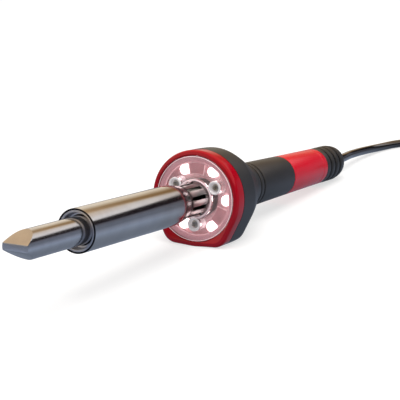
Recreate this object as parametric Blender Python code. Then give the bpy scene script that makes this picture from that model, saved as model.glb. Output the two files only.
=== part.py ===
"""Temperature-stable soldering iron with a halo of lights, at rest on the flat of its housing."""
import math

import bmesh
import bpy
from mathutils import Vector

# Driving dimensions, in metres. Stations run along the iron's own axis, from the barrel's front rim at
# zero: the tip lies at negative stations and the cord leaves at the positive end.
TIP_RADIUS = 0.005
TIP_NOSE_AT = -0.0337
TIP_FLATS_END = -0.0269
TIP_NOSE_HALF = 0.0012
TIP_END = 0.048
BARREL_RADIUS = 0.00774
BARREL_WALL = 0.0006
BARREL_END = 0.0665
BARREL_CONE = 0.0050
BARREL_SCREW_HOLE = 0.0015
REAR_TUBE_RADIUS = 0.0063
REAR_TUBE_WALL = 0.0006
REAR_TUBE_START = 0.0526
REAR_TUBE_END = 0.096
SLOT_COUNT = 10
SLOT_SPAN = (0.0690, 0.0798)
SLOT_HALF_WIDTH = 0.0008
SCREW_AT = 0.0055
LENS_FRONT = 0.0808
LENS_RADIUS = 0.0166
LENS_HOLE = 0.00685
LENS_THICK = 0.002
LIGHT_CIRCLE = 0.0123
LIGHT_RADIUS = 0.0021
LIGHT_HEIGHT = 0.0034
BOSS_CIRCLE = 0.010
BOSS_RADIUS = 0.0027
HEAD_RECESS = (0.0019, 0.0022)
FLANGE_CIRCLE = 0.0117
SCREW_HOLE = 0.0011
BOARD_FRONT = 0.0869
BULKHEAD_FRONT = 0.0911
BULKHEAD_BACK = 0.0935
HOUSING_FRONT = 0.0868
HOUSING_RADIUS = 0.0189
FOOT_CENTRE = (0.0083, -0.0123)
FOOT_RADIUS = 0.006
FLAT_DEPTH = 0.0184
FLAT_FRONT = 0.0835
HOUSING_BACK = 0.1206
NECK_RING_FRONT = 0.1216
NECK_RING_BACK = 0.1239
GRIP_FRONT = 0.1250
RED_FRONT = 0.1548
RED_BACK = 0.1910
BOOT_BACK = 0.2160
GROOVE_HALF = 0.0010
GROOVE_FLOOR_HALF = 0.0006
GROOVE_DEPTH = 0.0014
BOOT_FOOT_AT = 0.2070
BOOT_FOOT_RADIUS = 0.0080
CORE_RADIUS = 0.0072
CORE_BORE = 0.0059
CORE_FRONT = 0.108
CORE_BACK = 0.1940
GAP = 0.0003
WIRE_RADIUS = 0.0008
WIRE_SIDE = 0.0019
WIRE_HEIGHT = 0.0036
CORD_RADIUS = 0.002
COIL_MIDDLE = (0.2716, -0.01145)
COIL_MEAN = 0.02213
COIL_HALF_WIDTH = 0.00813
COIL_HEIGHT = 0.0086
PLUG_REAR = (0.2215, -0.0295)
PLUG_HEIGHT = 0.0128
BLADE_SPREAD = 0.00635
BLADE_LENGTH = 0.017
BLADE_HALF_WIDE = 0.00315
BLADE_HALF_THICK = 0.00075

# The iron lies on the flat under its housing and on the last rib of its cord boot.
TILT = math.atan2(FLAT_DEPTH - BOOT_FOOT_RADIUS, BOOT_FOOT_AT - FLAT_FRONT)
AXIS_HEIGHT = FLAT_FRONT * math.sin(TILT) + FLAT_DEPTH * math.cos(TILT)
AXIS_MIDDLE = 0.09124

# Where the cord lies: straight out of the boot, down to the surface, then round to the coil.
CORD_ROUTE = [
    (0.1247, 0.0, 0.0071),
    (0.136, 0.0006, 0.0062),
    (0.1485, 0.0022, 0.0052),
    (0.156, 0.0026, 0.0046),
    (0.164, 0.0028, 0.0039),
    (0.172, 0.0026, 0.0032),
    (0.179, 0.0021, 0.0026),
    (0.185, 0.0012, 0.0022),
    (0.1906, -0.0001, 0.0020),
    (0.1955, -0.0019, 0.0020),
    (0.200, -0.0044, 0.0020),
    (0.2079, -0.0090, 0.0020),
    (0.2158, -0.0136, 0.0020),
    (0.2237, -0.0180, 0.0020),
    (0.2316, -0.0223, 0.0020),
    (0.2395, -0.0263, 0.0020),
    (0.2430, -0.0280, 0.0020),
]
TAIL_ROUTE = [
    (0.2402, -0.0218, 0.0062),
    (0.2370, -0.0252, 0.0064),
    (0.2330, -0.0278, 0.0064),
    (0.2286, -0.0292, 0.0064),
    (0.2250, -0.0295, 0.0064),
    (0.2218, -0.0295, 0.0064),
]


def make_material(name, color, roughness, metallic=0.0):
    """A Principled finish."""
    material = bpy.data.materials.new(name)
    material.use_nodes = True
    shader = material.node_tree.nodes["Principled BSDF"]
    shader.inputs["Base Color"].default_value = (*color, 1.0)
    shader.inputs["Roughness"].default_value = roughness
    shader.inputs["Metallic"].default_value = metallic
    return material


def floor_depth(station):
    """How far below the axis, square to it, the surface lies at a station."""
    return FLAT_DEPTH - (station - FLAT_FRONT) * math.tan(TILT)


def add_object(name, bm, material, parent, smooth=True):
    """Turns a bmesh into a named object with outward faces."""
    bmesh.ops.recalc_face_normals(bm, faces=bm.faces)
    mesh = bpy.data.meshes.new(name)
    bm.to_mesh(mesh)
    bm.free()
    mesh.materials.append(material)
    obj = bpy.data.objects.new(name, mesh)
    bpy.context.scene.collection.objects.link(obj)
    obj.parent = parent
    if smooth:
        mesh.shade_smooth()
        mesh.set_sharp_from_angle(angle=math.radians(35))
    return obj


def add_rings(bm, rings, closed):
    """Joins rings of vertices into a skin; a ring of one vertex is a pole."""
    pairs = list(zip(rings, rings[1:]))
    if closed:
        pairs.append((rings[-1], rings[0]))
    for ring, after in pairs:
        count = max(len(ring), len(after))
        if count == 1:
            continue
        for i in range(count):
            j = (i + 1) % count
            near = [ring[i % len(ring)], ring[j % len(ring)]]
            far = [after[j % len(after)], after[i % len(after)]]
            bm.faces.new(list(dict.fromkeys(near + far)))


def turned(name, outline, material, parent, sides=24):
    """A solid turned about the local X axis from a closed outline of (station, radius) points."""
    bm = bmesh.new()
    rings = []
    for station, radius in outline:
        if radius == 0.0:
            rings.append([bm.verts.new((station, 0.0, 0.0))])
            continue
        ring = []
        for i in range(sides):
            angle = 2.0 * math.pi * (i + 0.5) / sides
            ring.append(bm.verts.new((station, radius * math.cos(angle), radius * math.sin(angle))))
        rings.append(ring)
    add_rings(bm, rings, closed=True)
    return add_object(name, bm, material, parent)


def foot_point(angle, radius):
    """A point of the housing's section, a circle run out to two feet, by the angle of its normal."""
    share = radius / HOUSING_RADIUS
    side = math.cos(angle)
    up = math.sin(angle)
    best = (radius, (radius * side, radius * up))
    for across in (-FOOT_CENTRE[0] * share, FOOT_CENTRE[0] * share):
        below = FOOT_CENTRE[1] * share
        reach = FOOT_RADIUS * share
        support = across * side + below * up + reach
        if support > best[0]:
            best = (support, (across + reach * side, below + reach * up))
    return best[1]


def footed(name, outline, material, parent, sides=44):
    """A ring-shaped shell from (station, radius, footed) rows, cut off at the surface it stands on."""
    bm = bmesh.new()
    rings = []
    for station, radius, has_foot in outline:
        ring = []
        for i in range(sides):
            angle = 2.0 * math.pi * (i + 0.5) / sides
            across, up = radius * math.cos(angle), radius * math.sin(angle)
            if has_foot:
                across, up = foot_point(angle, radius)
                up = max(up, -floor_depth(station))
            ring.append(bm.verts.new((station, across, up)))
        rings.append(ring)
    add_rings(bm, rings, closed=True)
    return add_object(name, bm, material, parent)


def box(name, low, high, material, parent, bevel=0.0):
    """A block between two corners, with its edges rounded if a bevel is given."""
    bm = bmesh.new()
    bmesh.ops.create_cube(bm, size=1.0)
    for vert in bm.verts:
        vert.co = Vector([low[k] if vert.co[k] < 0 else high[k] for k in range(3)])
    if bevel:
        bmesh.ops.bevel(bm, geom=bm.edges[:], offset=bevel, segments=2, affect="EDGES", profile=0.5)
    return add_object(name, bm, material, parent, smooth=bool(bevel))


def rod_between(bm, start, end, radius, sides=16):
    """Adds a plain capped rod to a bmesh."""
    start, end = Vector(start), Vector(end)
    along = (end - start).normalized()
    turn = along.to_track_quat("Z", "Y")
    rings = []
    for place in (start, end):
        ring = []
        for i in range(sides):
            angle = 2.0 * math.pi * i / sides
            offset = turn @ Vector((radius * math.cos(angle), radius * math.sin(angle), 0.0))
            ring.append(bm.verts.new(place + offset))
        rings.append(ring)
    add_rings(bm, rings, closed=False)
    bm.faces.new(rings[0][::-1])
    bm.faces.new(rings[1])


def rod(name, start, end, radius, material, parent, sides=16):
    """A plain round rod between two points."""
    bm = bmesh.new()
    rod_between(bm, start, end, radius, sides)
    return add_object(name, bm, material, parent)


def hide_cutter(obj):
    """Keeps a cutter out of the model."""
    obj.hide_render = True
    obj.display_type = "WIRE"


def combine(obj, cutter, operation):
    """Cuts or joins a hidden shape and the object."""
    hide_cutter(cutter)
    modifier = obj.modifiers.new(operation.title(), "BOOLEAN")
    modifier.operation = operation
    modifier.solver = "EXACT"
    modifier.object = cutter


def rods_cutter(name, spans, radius, parent, sides=12):
    """Several separate rods in one hidden cutter."""
    bm = bmesh.new()
    for start, end in spans:
        rod_between(bm, start, end, radius, sides)
    return add_object(name, bm, cutter_finish, parent)


def wire(name, points, radius, material, parent, resolution=2, step=0.008):
    """A round wire along a smooth curve through the points, with filled ends."""
    places = smooth_route(points, step)
    curve = bpy.data.curves.new(name, "CURVE")
    curve.dimensions = "3D"
    curve.bevel_depth = radius
    curve.bevel_resolution = resolution
    curve.use_fill_caps = True
    spline = curve.splines.new("POLY")
    spline.points.add(len(places) - 1)
    for point, place in zip(spline.points, places):
        point.co = (*place, 1.0)
    curve.materials.append(material)
    obj = bpy.data.objects.new(name, curve)
    bpy.context.scene.collection.objects.link(obj)
    obj.parent = parent
    return obj


def smooth_route(points, step):
    """Places about a step apart on a centripetal Catmull-Rom curve through the points."""
    points = [Vector(p) for p in points]
    knots = [points[0] * 2.0 - points[1], *points, points[-1] * 2.0 - points[-2]]
    places = [points[0]]
    for before, start, end, after in zip(knots, knots[1:], knots[2:], knots[3:]):
        times = [0.0]
        for first, second in ((before, start), (start, end), (end, after)):
            times.append(times[-1] + math.sqrt((second - first).length))
        count = max(1, round((end - start).length / step))
        for k in range(1, count + 1):
            t = times[1] + (times[2] - times[1]) * k / count
            legs = []
            for i, (first, second) in enumerate(((before, start), (start, end), (end, after))):
                share = (t - times[i]) / (times[i + 1] - times[i])
                legs.append(first.lerp(second, share))
            near = legs[0].lerp(legs[1], (t - times[0]) / (times[2] - times[0]))
            far = legs[1].lerp(legs[2], (t - times[1]) / (times[3] - times[1]))
            places.append(near.lerp(far, (t - times[1]) / (times[2] - times[1])))
    return places


def polar(station, radius, degrees):
    """A point at a station, by its distance from the axis and its angle from the iron's right side."""
    angle = math.radians(degrees)
    return (station, radius * math.cos(angle), radius * math.sin(angle))


for old in list(bpy.data.objects):
    bpy.data.objects.remove(old, do_unlink=True)

plated_iron = make_material("plated_iron", (0.45, 0.44, 0.43), 0.22, 1.0)
polished_steel = make_material("polished_steel", (0.50, 0.50, 0.51), 0.18, 1.0)
dull_steel = make_material("dull_steel", (0.35, 0.35, 0.35), 0.45, 1.0)
ceramic = make_material("ceramic", (0.82, 0.80, 0.74), 0.6)
resistance_wire = make_material("resistance_wire", (0.30, 0.27, 0.24), 0.5, 1.0)
mica = make_material("mica", (0.62, 0.55, 0.42), 0.4)
clear_plastic = make_material("clear_plastic", (0.86, 0.72, 0.72), 0.08)
red_plastic = make_material("red_plastic", (0.55, 0.01, 0.03), 0.25)
red_rubber = make_material("red_rubber", (0.62, 0.03, 0.05), 0.4)
black_plastic = make_material("black_plastic", (0.02, 0.022, 0.025), 0.5)
black_rubber = make_material("black_rubber", (0.018, 0.019, 0.02), 0.6)
board_green = make_material("board_green", (0.02, 0.14, 0.06), 0.5)
light_white = make_material("light_white", (0.95, 0.95, 0.90), 0.3)
part_grey = make_material("part_grey", (0.20, 0.20, 0.21), 0.5)
film_yellow = make_material("film_yellow", (0.65, 0.45, 0.08), 0.5)
sleeving = make_material("sleeving", (0.75, 0.73, 0.66), 0.8)
wire_blue = make_material("wire_blue", (0.03, 0.12, 0.45), 0.5)
wire_brown = make_material("wire_brown", (0.20, 0.08, 0.03), 0.5)
cord_black = make_material("cord_black", (0.012, 0.012, 0.014), 0.3)
strap_black = make_material("strap_black", (0.03, 0.03, 0.03), 0.9)
nickel = make_material("nickel", (0.70, 0.68, 0.64), 0.25, 1.0)
cutter_finish = make_material("cutter", (1.0, 0.0, 1.0), 0.5)

iron = bpy.data.objects.new("iron_axis", None)
bpy.context.scene.collection.objects.link(iron)
iron.location = (-AXIS_MIDDLE * math.cos(TILT), 0.0, AXIS_HEIGHT)
iron.rotation_euler = (0.0, TILT, 0.0)


def make_tip():
    """The chisel tip: a round bar with two flats that leave a blunt nose, sliding in the heater."""
    shoulder = TIP_RADIUS - 0.0004
    outline = [(TIP_NOSE_AT, 0.0), (TIP_NOSE_AT, TIP_RADIUS), (TIP_END - 0.0004, TIP_RADIUS)]
    outline += [(TIP_END, shoulder), (TIP_END, 0.0)]
    tip = turned("tip", outline, plated_iron, iron, sides=32)
    bm = bmesh.new()
    for side in (-1.0, 1.0):
        rise = TIP_RADIUS - TIP_NOSE_HALF
        slope = rise / (TIP_FLATS_END - TIP_NOSE_AT)
        corners = [
            (TIP_NOSE_AT - 0.002, TIP_NOSE_HALF - 0.002 * slope),
            (TIP_FLATS_END + 0.002, TIP_RADIUS + 0.002 * slope),
            (TIP_NOSE_AT - 0.002, TIP_RADIUS + 0.002 * slope),
        ]
        rings = []
        for across in (-0.008, 0.008):
            rings.append([bm.verts.new((station, across, side * up)) for station, up in corners])
        add_rings(bm, rings, closed=False)
        bm.faces.new(rings[0])
        bm.faces.new(rings[1])
    combine(tip, add_object("tip_flats_cutter", bm, cutter_finish, iron), "DIFFERENCE")


def make_tip_screw():
    """The grub screw under the barrel that holds the tip; it turns about its own axis."""
    bm = bmesh.new()
    top = -TIP_RADIUS - GAP
    bottom = -BARREL_RADIUS + 0.0001
    rod_between(bm, (0.0, 0.0, top - bottom), (0.0, 0.0, 0.0), 0.0012)
    screw = add_object("tip_screw", bm, dull_steel, iron)
    screw.location = (SCREW_AT, 0.0, bottom)
    bm = bmesh.new()
    rod_between(bm, (0.0, 0.0, -0.001), (0.0, 0.0, 0.0012), 0.0007, sides=6)
    socket = add_object("screw_socket_cutter", bm, cutter_finish, iron)
    socket.location = screw.location
    combine(screw, socket, "DIFFERENCE")


def make_barrel():
    """The polished barrel, necked at its rear end onto the rear tube, and the collar in its mouth."""
    inner = BARREL_RADIUS - BARREL_WALL
    neck = REAR_TUBE_RADIUS + GAP
    cone_start = BARREL_END - BARREL_CONE
    outline = [
        (0.0, inner),
        (0.0, BARREL_RADIUS - 0.0002),
        (0.0002, BARREL_RADIUS),
        (cone_start, BARREL_RADIUS),
        (BARREL_END, neck + 0.0004),
        (BARREL_END, neck),
        (cone_start + 0.0003, neck),
        (cone_start - 0.0006, inner),
    ]
    barrel = turned("barrel", outline, polished_steel, iron, sides=32)
    collar_outer = inner - GAP
    collar_inner = TIP_RADIUS + GAP
    outline = [
        (0.0030, collar_inner),
        (0.0030, 0.0061),
        (0.0003, 0.0064),
        (0.0003, collar_outer - 0.0001),
        (0.0004, collar_outer),
        (0.0094, collar_outer),
        (0.0094, collar_inner),
    ]
    collar = turned("front_collar", outline, dull_steel, iron, sides=32)
    span = ((SCREW_AT, 0.0, -0.0035), (SCREW_AT, 0.0, -0.010))
    combine(barrel, rods_cutter("barrel_screw_cutter", [span], BARREL_SCREW_HOLE, iron), "DIFFERENCE")
    combine(collar, rods_cutter("collar_screw_cutter", [span], BARREL_SCREW_HOLE, iron), "DIFFERENCE")


def make_heater():
    """Ceramic former, wound element, mica sleeve and the rear plug that the leads pass through."""
    front, back = 0.0100, 0.0500
    turned("heater_core", [(front, 0.0053), (front, 0.00565), (back, 0.00565), (back, 0.0053)], ceramic, iron)
    turns = 10
    low, high, inside = 0.00615, 0.0063, 0.00595
    pitch = (back - front - 0.004) / turns
    outline = [(front + 0.002, inside)]
    for k in range(turns):
        start = front + 0.002 + k * pitch
        outline.append((start + 0.0001, low))
        outline.append((start + 0.5 * pitch, high))
    outline.append((back - 0.002, low))
    outline.append((back - 0.002, inside))
    turned("heater_winding", outline, resistance_wire, iron, sides=20)
    turned("mica_sleeve", [(front, 0.0066), (front, 0.00685), (back, 0.00685), (back, 0.0066)], mica, iron)
    plug_front, plug_back = back + GAP, REAR_TUBE_START - GAP
    outline = [(plug_front, 0.0), (plug_front, 0.0068), (plug_back, 0.0068), (plug_back, 0.0)]
    plug = turned("heater_plug", outline, ceramic, iron)
    spans = []
    for side in (-WIRE_SIDE, WIRE_SIDE):
        spans.append(((plug_front - 0.002, side, WIRE_HEIGHT), (plug_back + 0.002, side, WIRE_HEIGHT)))
    combine(plug, rods_cutter("heater_plug_cutter", spans, WIRE_RADIUS + GAP, iron), "DIFFERENCE")


def make_rear_tube():
    """The narrower steel tube behind the barrel, with cooling slots in front of the lens."""
    inner = REAR_TUBE_RADIUS - REAR_TUBE_WALL
    outline = [
        (REAR_TUBE_START, inner),
        (REAR_TUBE_START, REAR_TUBE_RADIUS),
        (REAR_TUBE_END, REAR_TUBE_RADIUS),
        (REAR_TUBE_END, inner),
    ]
    tube = turned("rear_tube", outline, polished_steel, iron)
    bm = bmesh.new()
    for k in range(SLOT_COUNT):
        angle = 360.0 * (k + 0.5) / SLOT_COUNT
        rings = []
        for radius in (0.0047, 0.0075):
            middle = Vector(polar(0.0, radius, angle))
            across = Vector(polar(0.0, SLOT_HALF_WIDTH, angle + 90.0))
            ring = []
            start, end = SLOT_SPAN
            for station, side in ((start, -1), (start, 1), (end, 1), (end, -1)):
                ring.append(bm.verts.new(middle + across * side + Vector((station, 0.0, 0.0))))
            rings.append(ring)
        add_rings(bm, rings, closed=False)
        bm.faces.new(rings[0])
        bm.faces.new(rings[1])
    combine(tube, add_object("cooling_slot_cutter", bm, cutter_finish, iron), "DIFFERENCE")


def flange_screw_place(index):
    """The angle of each flange screw, between the lens screws."""
    return 90.0 + 120.0 * index


def lens_screw_place(index):
    """The angle of each lens screw."""
    return 30.0 + 120.0 * index


def three_spans(front, back, circle, place):
    """Three spans along the axis, one at each place round it."""
    spans = []
    for index in range(3):
        spans.append((polar(front, circle, place(index)), polar(back, circle, place(index))))
    return spans


def make_flange():
    """The disc that carries the hot tube on the housing's bulkhead, and its screws."""
    front = BULKHEAD_FRONT - GAP - 0.0009
    back = BULKHEAD_FRONT - GAP
    tube_gap = REAR_TUBE_RADIUS + GAP
    outline = [(front, tube_gap), (front, 0.0138), (back, 0.0138), (back, tube_gap)]
    flange = turned("mounting_flange", outline, dull_steel, iron)
    wide_spans = three_spans(front - 0.002, back + 0.002, BOSS_CIRCLE, lens_screw_place)
    combine(flange, rods_cutter("flange_wide_cutter", wide_spans, 0.0013, iron), "DIFFERENCE")
    spans = three_spans(front - 0.002, back + 0.002, FLANGE_CIRCLE, flange_screw_place)
    combine(flange, rods_cutter("flange_hole_cutter", spans, SCREW_HOLE, iron), "DIFFERENCE")
    notch = box("flange_notch_cutter", (front - 0.002, -0.0097, -0.0018),
                (back + 0.002, -0.0072, 0.0018), cutter_finish, iron)
    combine(flange, notch, "DIFFERENCE")
    for index in range(3):
        screw(f"flange_screw_{index + 1}", front - GAP - 0.0011, front - GAP, BULKHEAD_BACK - 0.0003,
              FLANGE_CIRCLE, flange_screw_place(index), 0.0017, 0.0008)


def screw(name, head_front, head_back, end, circle, angle, head_radius, shaft_radius, material=None):
    """A screw along the axis with a recessed drive, at a place round the axis."""
    outline = [
        (head_front, 0.0),
        (head_front, head_radius - 0.0003),
        (head_front + 0.0004, head_radius),
        (head_back, head_radius),
        (head_back, shaft_radius),
        (end, shaft_radius),
        (end, 0.0),
    ]
    made = turned(name, outline, material or dull_steel, iron, sides=14)
    made.location = polar(0.0, circle, angle)
    return made


def make_lens():
    """The clear halo lens with its three screw bosses, and the screws."""
    back = LENS_FRONT + LENS_THICK
    outline = [
        (LENS_FRONT + 0.0004, LENS_HOLE),
        (LENS_FRONT - 0.0001, LENS_HOLE + 0.0003),
        (LENS_FRONT - 0.0001, LENS_HOLE + 0.0010),
        (LENS_FRONT + 0.0003, LENS_HOLE + 0.0012),
        (LENS_FRONT + 0.0003, LENS_RADIUS - 0.0023),
        (LENS_FRONT, LENS_RADIUS - 0.0021),
        (LENS_FRONT, LENS_RADIUS - 0.0003),
        (LENS_FRONT + 0.0003, LENS_RADIUS),
        (back, LENS_RADIUS),
        (back, LENS_HOLE),
    ]
    lens = turned("halo_lens", outline, clear_plastic, iron, sides=32)
    boss_back = BOARD_FRONT - GAP
    recess = LENS_FRONT + HEAD_RECESS[1]
    bosses = three_spans(LENS_FRONT - 0.0002, boss_back, BOSS_CIRCLE, lens_screw_place)
    heads = three_spans(LENS_FRONT - 0.002, recess, BOSS_CIRCLE, lens_screw_place)
    shafts = three_spans(LENS_FRONT, boss_back + 0.002, BOSS_CIRCLE, lens_screw_place)
    combine(lens, rods_cutter("lens_boss_shape", bosses, BOSS_RADIUS, iron, sides=14), "UNION")
    combine(lens, rods_cutter("lens_head_cutter", heads, HEAD_RECESS[0], iron, sides=12), "DIFFERENCE")
    combine(lens, rods_cutter("lens_shaft_cutter", shafts, SCREW_HOLE, iron), "DIFFERENCE")
    for index in range(3):
        seat = recess - GAP
        screw(f"lens_screw_{index + 1}", seat - 0.0012, seat, BULKHEAD_BACK - 0.0003,
              BOSS_CIRCLE, lens_screw_place(index), 0.0016, 0.0008, nickel)


def make_lights():
    """The ring board and its six lights."""
    back = BOARD_FRONT + 0.001
    outline = [(BOARD_FRONT, 0.0074), (BOARD_FRONT, 0.0156), (back, 0.0156), (back, 0.0074)]
    board = turned("light_board", outline, board_green, iron)
    spans = three_spans(BOARD_FRONT - 0.002, back + 0.002, BOSS_CIRCLE, lens_screw_place)
    combine(board, rods_cutter("board_hole_cutter", spans, SCREW_HOLE, iron), "DIFFERENCE")
    for index in range(6):
        bm = bmesh.new()
        rings = []
        profile = [
            (BOARD_FRONT - GAP, LIGHT_RADIUS),
            (BOARD_FRONT - LIGHT_HEIGHT + 0.0010, LIGHT_RADIUS),
            (BOARD_FRONT - LIGHT_HEIGHT, 0.0012),
        ]
        for station, half in profile:
            ring = []
            for k in range(16):
                angle = 2.0 * math.pi * (k + 0.5) / 16
                ring.append(bm.verts.new((station, half * math.cos(angle), half * math.sin(angle))))
            rings.append(ring)
        add_rings(bm, rings, closed=False)
        bm.faces.new(rings[0])
        bm.faces.new(rings[-1])
        light = add_object(f"light_{index + 1}", bm, light_white, iron)
        light.location = polar(0.0, LIGHT_CIRCLE, 60.0 * index)


def make_bezel():
    """The red ring round the lens, with its flat foot and a spigot into the housing."""
    bore = LENS_RADIUS + GAP
    back = HOUSING_FRONT - GAP
    outline = [
        (LENS_FRONT, bore, False),
        (LENS_FRONT - 0.0001, bore + 0.0003, True),
        (LENS_FRONT + 0.0002, 0.0183, True),
        (LENS_FRONT + 0.0006, 0.0187, True),
        (LENS_FRONT + 0.0014, 0.0189, True),
        (LENS_FRONT + 0.0038, HOUSING_RADIUS, True),
        (back, HOUSING_RADIUS - 0.0001, True),
        (back, 0.0163, False),
        (back + 0.0020, 0.0163, False),
        (back + 0.0020, 0.0159, False),
        (back - 0.0024, 0.0159, False),
        (back - 0.0024, bore, False),
    ]
    footed("bezel", outline, red_plastic, iron)


def make_housing():
    """The black shell behind the bezel, with the bulkhead that everything in front is screwed to."""
    wall = 0.0021
    neck_bore = CORE_RADIUS + GAP
    end = HOUSING_BACK
    outline = [
        (HOUSING_FRONT, 0.0167, False),
        (HOUSING_FRONT, HOUSING_RADIUS - 0.0001, True),
        (0.0900, 0.01875, True),
        (0.0945, 0.0186, True),
        (0.0970, 0.0184, True),
        (0.0985, 0.0179, True),
        (0.1010, 0.0170, True),
        (0.1055, 0.0152, True),
        (0.1105, 0.0129, True),
        (0.1150, 0.0108, True),
        (0.1172, 0.0099, True),
        (0.1190, 0.0095, False),
        (end - 0.0003, 0.0093, False),
        (end, 0.0090, False),
        (end, neck_bore, False),
        (0.1085, neck_bore, False),
        (0.1055, 0.0152 - wall, False),
        (0.1000, 0.0157, False),
        (BULKHEAD_BACK, 0.0162, False),
        (BULKHEAD_BACK, 0.0071, False),
        (BULKHEAD_FRONT, 0.0071, False),
        (BULKHEAD_FRONT, 0.0167, False),
    ]
    housing = footed("housing", outline, black_plastic, iron)
    front, back = BULKHEAD_FRONT - 0.002, BULKHEAD_BACK + 0.002
    spans = three_spans(front, back, BOSS_CIRCLE, lens_screw_place)
    spans += three_spans(front, back, FLANGE_CIRCLE, flange_screw_place)
    combine(housing, rods_cutter("bulkhead_hole_cutter", spans, SCREW_HOLE, iron), "DIFFERENCE")
    notch = box("bulkhead_notch_cutter", (BULKHEAD_FRONT - 0.001, -0.0097, -0.0018),
                (BULKHEAD_BACK + 0.001, -0.0075, 0.0018), cutter_finish, iron)
    combine(housing, notch, "DIFFERENCE")


def sleeve(name, front, back, front_radius, back_radius, material):
    """A hand-grip sleeve over the core, with eased ends."""
    bore = CORE_RADIUS + GAP
    ease = 0.0004
    outline = [
        (front, bore),
        (front, front_radius - ease),
        (front + 0.0003, front_radius),
        (back - 0.0003, back_radius),
        (back, back_radius - ease),
        (back, bore),
    ]
    turned(name, outline, material, iron, sides=32)


def make_handle():
    """The core tube with its neck ring, grip, sleeve and cord boot."""
    outline = [
        (CORE_FRONT, CORE_BORE),
        (CORE_FRONT, CORE_RADIUS),
        (CORE_BACK, CORE_RADIUS),
        (CORE_BACK, CORE_BORE),
    ]
    turned("handle_core", outline, black_plastic, iron)
    sleeve("neck_ring", NECK_RING_FRONT, NECK_RING_BACK, 0.0092, 0.00915, black_rubber)
    sleeve("front_grip", GRIP_FRONT, RED_FRONT - 0.00015, 0.00912, 0.0086, black_rubber)
    sleeve("rear_sleeve", RED_FRONT + 0.00015, RED_BACK - 0.0002, 0.0086, 0.0081, red_rubber)
    front = RED_BACK + 0.0002
    radius = 0.0081
    outline = [(front, CORE_RADIUS + GAP), (front, radius - 0.0005), (front + 0.0003, radius - 0.0001)]
    for groove in (0.1958, 0.2006, 0.2055):
        outline.append((groove - GROOVE_HALF, radius))
        outline.append((groove - GROOVE_FLOOR_HALF, radius - GROOVE_DEPTH))
        outline.append((groove + GROOVE_FLOOR_HALF, radius - GROOVE_DEPTH))
        outline.append((groove + GROOVE_HALF, radius))
    outline.append((BOOT_FOOT_AT, BOOT_FOOT_RADIUS))
    outline += [(0.2088, 0.0078), (0.2108, 0.0074), (0.2130, 0.0065), (0.2150, 0.0051)]
    outline.append((BOOT_BACK, 0.0040))
    outline += [(BOOT_BACK, CORD_RADIUS + GAP), (CORE_BACK + GAP, CORD_RADIUS + GAP)]
    outline += [(CORE_BACK + GAP, CORE_RADIUS + GAP)]
    turned("cord_boot", outline, black_rubber, iron, sides=32)


def make_driver():
    """The small supply for the lights inside the core: board, capacitor, rectifier and resistor."""
    top = -0.0016
    box("driver_board", (0.126, -0.0046, -0.0026), (0.160, 0.0046, top), board_green, iron)
    box("film_capacitor", (0.130, -0.0030, top + GAP), (0.1415, 0.0030, 0.0024),
        film_yellow, iron, bevel=0.0004)
    box("rectifier", (0.1445, -0.0022, top + GAP), (0.1495, 0.0022, 0.0008),
        part_grey, iron, bevel=0.0003)
    rod("dropper_resistor", (0.1525, 0.0, 0.0002), (0.1585, 0.0, 0.0002), 0.0013, mica, iron)


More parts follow.
